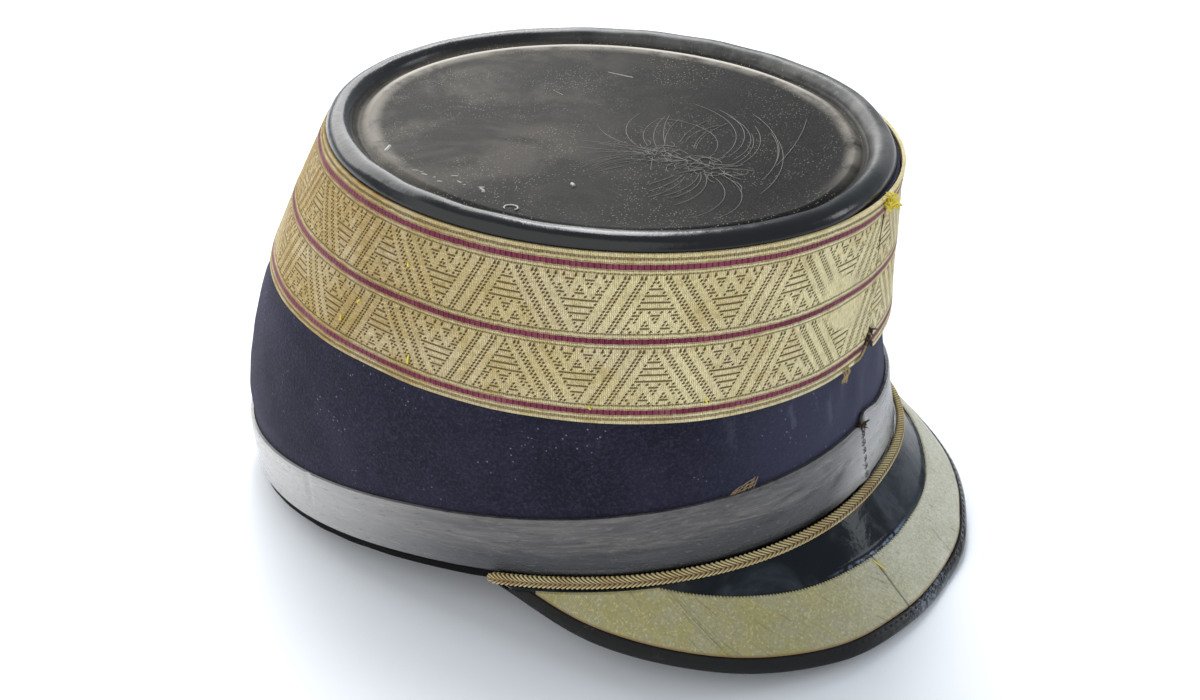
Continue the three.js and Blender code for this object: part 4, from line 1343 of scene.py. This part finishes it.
def disc_scratches():
    """Threads along flat arcs laid on the disc: fans whose arcs change evenly from first to last, and a
    tangle of short random arcs along the line between the fans."""
    azimuth = np.radians(CAMERA["azimuth"])
    axes = np.array([(np.cos(azimuth), np.sin(azimuth)), (-np.sin(azimuth), np.cos(azimuth))])
    rows = []
    for count, first, last in SWIRL_FANS:
        share = np.linspace(0, 1, count)[:, None]
        shake = random.normal(0, 1, (count, len(first))) * np.array(SWIRL["shake"])
        rows.append(lerp(np.array(first), np.array(last), share) + shake)
    count = TANGLE["count"]
    start = lerp(np.array(TANGLE["from"]), np.array(TANGLE["to"]), random.uniform(0, 1, (count, 1)))
    start = start + random.normal(0, 1, (count, 2)) * np.array(TANGLE["spread"])
    heading = random.uniform(0, 360, count)
    turn = random.uniform(-TANGLE["turn"], TANGLE["turn"], count)
    length = random.uniform(TANGLE["shortest"], TANGLE["longest"], count)
    rows.append(np.concatenate([start, np.stack([heading, turn, length], -1)], 1))
    patches = []
    for right, far, heading, turn, length in np.concatenate(rows):
        flat = arc((right, far), heading, turn, length) @ axes + (SWIRL["x"], SWIRL["y"])
        patches.append(thread(disc_point(flat, SWIRL["lift"]), SWIRL["radius"], SWIRL["sides"]))
    return patches


def disc_flecks():
    """Short threads laid on the disc along arcs, and a row of small ones."""
    patches = []
    for x, y, heading, turn, length, radius in DISC_FLECKS:
        patches.append(thread(disc_point(arc((x, y), heading, turn, length), FLECK_LIFT), radius))
    row = FLECK_ROW
    for share in np.linspace(0, 1, row["count"]):
        start = lerp(np.array(row["from"]), np.array(row["to"]), share) + random.normal(0, row["spread"], 2)
        heading = random.uniform(*row["heading"])
        path = arc(start, heading, 0, random.uniform(*row["length"]), row["stations"])
        patches.append(thread(disc_point(path, FLECK_LIFT), random.uniform(*row["radius"])))
    return patches


def tuft(middle, count, spread, radius):
    """Random curls: each thread is a curve through five random places in a ball."""
    places = np.asarray(middle) + random.normal(0, spread, (count, 5, 3))
    return [thread(catmull(place, np.linspace(0, 1, THREAD_STATIONS)), radius) for place in places]


def lace_tuft(angle, depth, offset, count, spread, radius):
    return tuft(lace_face(np.radians(angle), depth, offset), count, spread, radius)


def wall_thread(places, radius, stations=THREAD_STATIONS):
    """Thread along a curve through places on the lace: angle in degrees, depth below its top edge,
    offset."""
    angle, depth, offset = catmull(np.array(places, float), np.linspace(0, 1, stations)).T
    return thread(lace_face(np.radians(angle), depth, offset), radius)


def yellow_threads():
    """Tuft at the top of the lace's seam, flecks caught in the lace and a thread in the peak lace's
    joint."""
    patches = lace_tuft(*SEAM_TUFT)
    ends, middle = LACE_FLECK["ends"], LACE_FLECK["middle"]
    for angle, depth, lean, length in LACE_FLECKS:
        places = [(angle, depth, ends), (angle + lean / 2, depth + length / 2, middle),
                  (angle + lean, depth + length, ends)]
        patches.append(wall_thread(places, LACE_FLECK["radius"], LACE_FLECK["stations"]))
    share, from_edge = JOINT_THREAD.T
    _, width, _, _, _ = peak_line(share)
    top = GAP + PEAK_LACE["thickness"] + JOINT_THREAD_SIZE["lift"]
    path = peak_place(share, (width - from_edge)[:, None], np.full((len(share), 1), top))[:, 0]
    curve = catmull(path, np.linspace(0, 1, JOINT_THREAD_SIZE["stations"]))
    patches.append(thread(curve, JOINT_THREAD_SIZE["radius"]))
    return patches


def lace_frays():
    """Loose ends of the lace: short curls under its lower edge, fuzz along the torn corners and the seam,
    and the selvedge that hangs from the tear as a small cord."""
    patches = []
    fray, fuzz = LOWER_FRAY, SEAM_FUZZ
    for angle in random.normal(fray["angle"], fray["spread"], fray["count"]):
        end = angle + random.normal(0, fray["sway"])
        angles = (angle, angle + fray["first"], end, end + fray["last"])
        depths = np.array(fray["depths"])
        depths[-1] += random.normal(0, fray["uneven"])
        patches.append(wall_thread(np.stack([angles, depths, fray["offsets"]], -1), fray["radius"]))
    for depth in random.uniform(fuzz["from"], fuzz["to"], fuzz["count"]):
        side = random.choice([-1, 1])
        angles = (LACE["seam"] + fuzz["start"] * side, LACE["seam"], LACE["seam"] - fuzz["end"] * side)
        depths = (depth, depth + fuzz["drop"], depth + random.normal(fuzz["end_drop"], fuzz["uneven"]))
        places = np.stack([angles, depths, fuzz["offsets"]], -1)
        patches.append(wall_thread(places, fuzz["radius"], fuzz["stations"]))
    patches.append(wall_thread(TORN_SELVEDGE, TORN_SELVEDGE_RADIUS))
    return patches


def lace_tear():
    """Dark curls where the lace is torn beside its seam, and a dark thread down the seam."""
    patches = []
    for row in TEAR_TUFTS:
        patches += lace_tuft(*row)
    patches.append(wall_thread(SEAM_LINE, SEAM_LINE_SIZE["radius"], SEAM_LINE_SIZE["stations"]))
    return patches


def band_stitches():
    """Dark cross stitches over the band's seam, each a curve from one side to the other."""
    patches = []
    ends = np.array([-1.0, 0.0, 1.0])
    angle = np.radians(BAND["seam"] + ends * STITCH["half_width"])
    offset = BAND["face"] + STITCH["offset"] + np.array([STITCH["ends"], STITCH["middle"], STITCH["ends"]])
    for height in np.linspace(STITCH["low"], STITCH["high"], STITCH["count"]):
        for lean in (-1, 1):
            path = wall_point(angle, height + lean * ends * STITCH["half_height"], offset)
            patches.append(thread(catmull(path, np.linspace(0, 1, STITCH["stations"])), STITCH["radius"]))
    return patches


def band_notch():
    """Brown curls in the notch at the top of the band's seam."""
    angle = np.radians(BAND["seam"] + NOTCH_TUFT["aside"])
    place = wall_point(angle, NOTCH_TUFT["height"], NOTCH_TUFT["offset"])
    return tuft(place, NOTCH_TUFT["count"], NOTCH_TUFT["spread"], NOTCH_TUFT["radius"])


def gauze_top(angle):
    share = (angle - GAUZE["from"]) / (GAUZE["to"] - GAUZE["from"])
    return BAND["width"] + lerp(GAUZE["low"], GAUZE["high"], share)


def band_gauze():
    """Scrap of open net behind the band's upper edge: two crossing sets of threads over the cloth."""
    patches = []
    low, offset = BAND["width"] - GAUZE["hidden"], CLOTH["face"] + GAUZE["offset"]
    count, stations = GAUZE["upright"], GAUZE["stations"]
    for angle in np.linspace(GAUZE["from"], GAUZE["to"], count):
        height = np.linspace(low, gauze_top(angle), count)
        lean = np.linspace(-GAUZE["lean"], GAUZE["lean"], count) + GAUZE["lean_spread"] * random.normal(0, 1)
        path = wall_point(np.radians(angle + lean), height, np.full(count, offset))
        patches.append(thread(path, GAUZE["radius"]))
    for level in np.linspace(GAUZE["level_from"], 1.0, GAUZE["level"]):
        angle = np.linspace(*GAUZE["level_ends"], stations)
        height = lerp(low, gauze_top(angle), level)
        path = wall_point(np.radians(angle), height, np.full(stations, offset + GAUZE["over"]))
        patches.append(thread(path + random.normal(0, GAUZE["wobble"], path.shape), GAUZE["radius"]))
    return patches


# Pieces: name, shape, look, slot, replaced node, angle in degrees from which an edge is sharp.
PIECES = (
    ("crown_cloth", crown_wall, wool_look, "navy_wool", "crown_wall", 50),
    ("crown_leather_top", crown_top, top_look, "top_leather", "crown_top", 50),
    ("crown_gold_lace", crown_lace, crown_lace_look, "woven_lace", "crown_lace", 70),
    ("crown_band", leather_band, band_look, "band_leather", "leather_band", 50),
    ("peak_plate", peak, peak_look, "peak_leather", "peak", 50),
    ("peak_gold_lace", peak_lace, peak_lace_look, "plain_lace", "peak_lace", 50),
    ("peak_braid", peak_cord, cord_look, "gold_cord", "peak_cord", 70),
)
for name, shape, look, slot, node, sharp in PIECES:
    add_piece(name, shape(), look(), node, sharp)
rim_leather = edge_look("rim_leather", SHINE["rim"])
edge_leather = edge_look("edge_leather", SHINE["peak"])
add_piece("rim_edging", rim_binding(), rim_leather, "rim_binding")
add_piece("peak_edging", peak_binding(), edge_leather, "peak_binding", 60)
# Loose threads and marks: name, shape, slot, two colours.
EXTRAS = (
    ("disc_scratches", disc_scratches, "top_leather", (160, 157, 150), (116, 113, 108)),
    ("disc_flecks", disc_flecks, "top_leather", (206, 204, 196), (150, 147, 138)),
    ("yellow_threads", yellow_threads, "woven_lace", (238, 226, 96), (204, 178, 44)),
    ("lace_frays", lace_frays, "woven_lace", (196, 172, 118), (112, 86, 48)),
    ("lace_tear_curls", lace_tear, "woven_lace", (66, 50, 36), (26, 20, 18)),
    ("band_stitches", band_stitches, "band_leather", (34, 32, 32), (16, 15, 15)),
    ("band_notch_curls", band_notch, "band_leather", (70, 52, 36), (30, 22, 16)),
    ("band_gauze", band_gauze, "woven_lace", (196, 172, 138), (112, 84, 56)),
)
for name, shape, slot, first, second in EXTRAS:
    add_piece(name, shape(), thread_look(name, first, second))


def add_stage():
    mesh = bpy.data.meshes.new("floor")
    reach = 6.0
    corners = [(-reach, -reach, 0), (reach, -reach, 0), (reach, reach, 0), (-reach, reach, 0)]
    mesh.from_pydata(corners, [], [(0, 1, 2, 3)])
    look = Look("floor")
    mesh.materials.append(look.finish(Base_Color=(246, 248, 252), Roughness=0.6, Specular_IOR_Level=0.2))
    floor = bpy.data.objects.new("floor", mesh)
    bpy.context.collection.objects.link(floor)


def add_light(name, place, aim, size, watts, tint):
    light = bpy.data.lights.new(name, "AREA")
    light.shape = "RECTANGLE"
    light.size, light.size_y = size
    light.energy = watts
    light.color = tint
    lamp = bpy.data.objects.new(name, light)
    away = unit(np.array(place) - np.array(aim))
    right = unit(np.cross((0, 0, 1), away))
    axes = np.eye(4)
    axes[:3] = np.stack([right, np.cross(away, right), away, place], -1)
    lamp.matrix_world = Matrix(axes.tolist())
    bpy.context.collection.objects.link(lamp)


def add_camera():
    azimuth, elevation, roll = np.radians([CAMERA["azimuth"], CAMERA["elevation"], CAMERA["roll"]])
    aim = np.array(CAMERA["aim"]) + (0, SHIFT_Y, 0)
    level = np.array([np.cos(azimuth), np.sin(azimuth), 0])
    forward = np.array([np.sin(azimuth), -np.cos(azimuth), 0])
    back = forward * np.cos(elevation) + np.array([0, 0, np.sin(elevation)])
    upright = np.cross(back, level)
    axes = np.eye(4)
    axes[:3, 0] = level * np.cos(roll) + upright * np.sin(roll)
    axes[:3, 1] = upright * np.cos(roll) - level * np.sin(roll)
    axes[:3, 2] = back
    axes[:3, 3] = (aim + back * CAMERA["distance"]) * MM
    data = bpy.data.cameras.new("camera")
    data.lens = CAMERA["lens"]
    data.sensor_width = CAMERA["sensor"]
    data.clip_start = CAMERA["clip"]
    camera = bpy.data.objects.new("camera", data)
    camera.matrix_world = Matrix(axes.tolist())
    bpy.context.collection.objects.link(camera)
    bpy.context.scene.camera = camera


add_stage()
for light in LIGHTS:
    add_light(*light)
world = bpy.data.worlds.new("studio")
world.use_nodes = True
background = world.node_tree.nodes["Background"]
background.inputs["Color"].default_value = SKY["colour"]
background.inputs["Strength"].default_value = SKY["strength"]
bpy.context.scene.world = world
bpy.context.scene.view_settings.view_transform = "Standard"
add_camera()
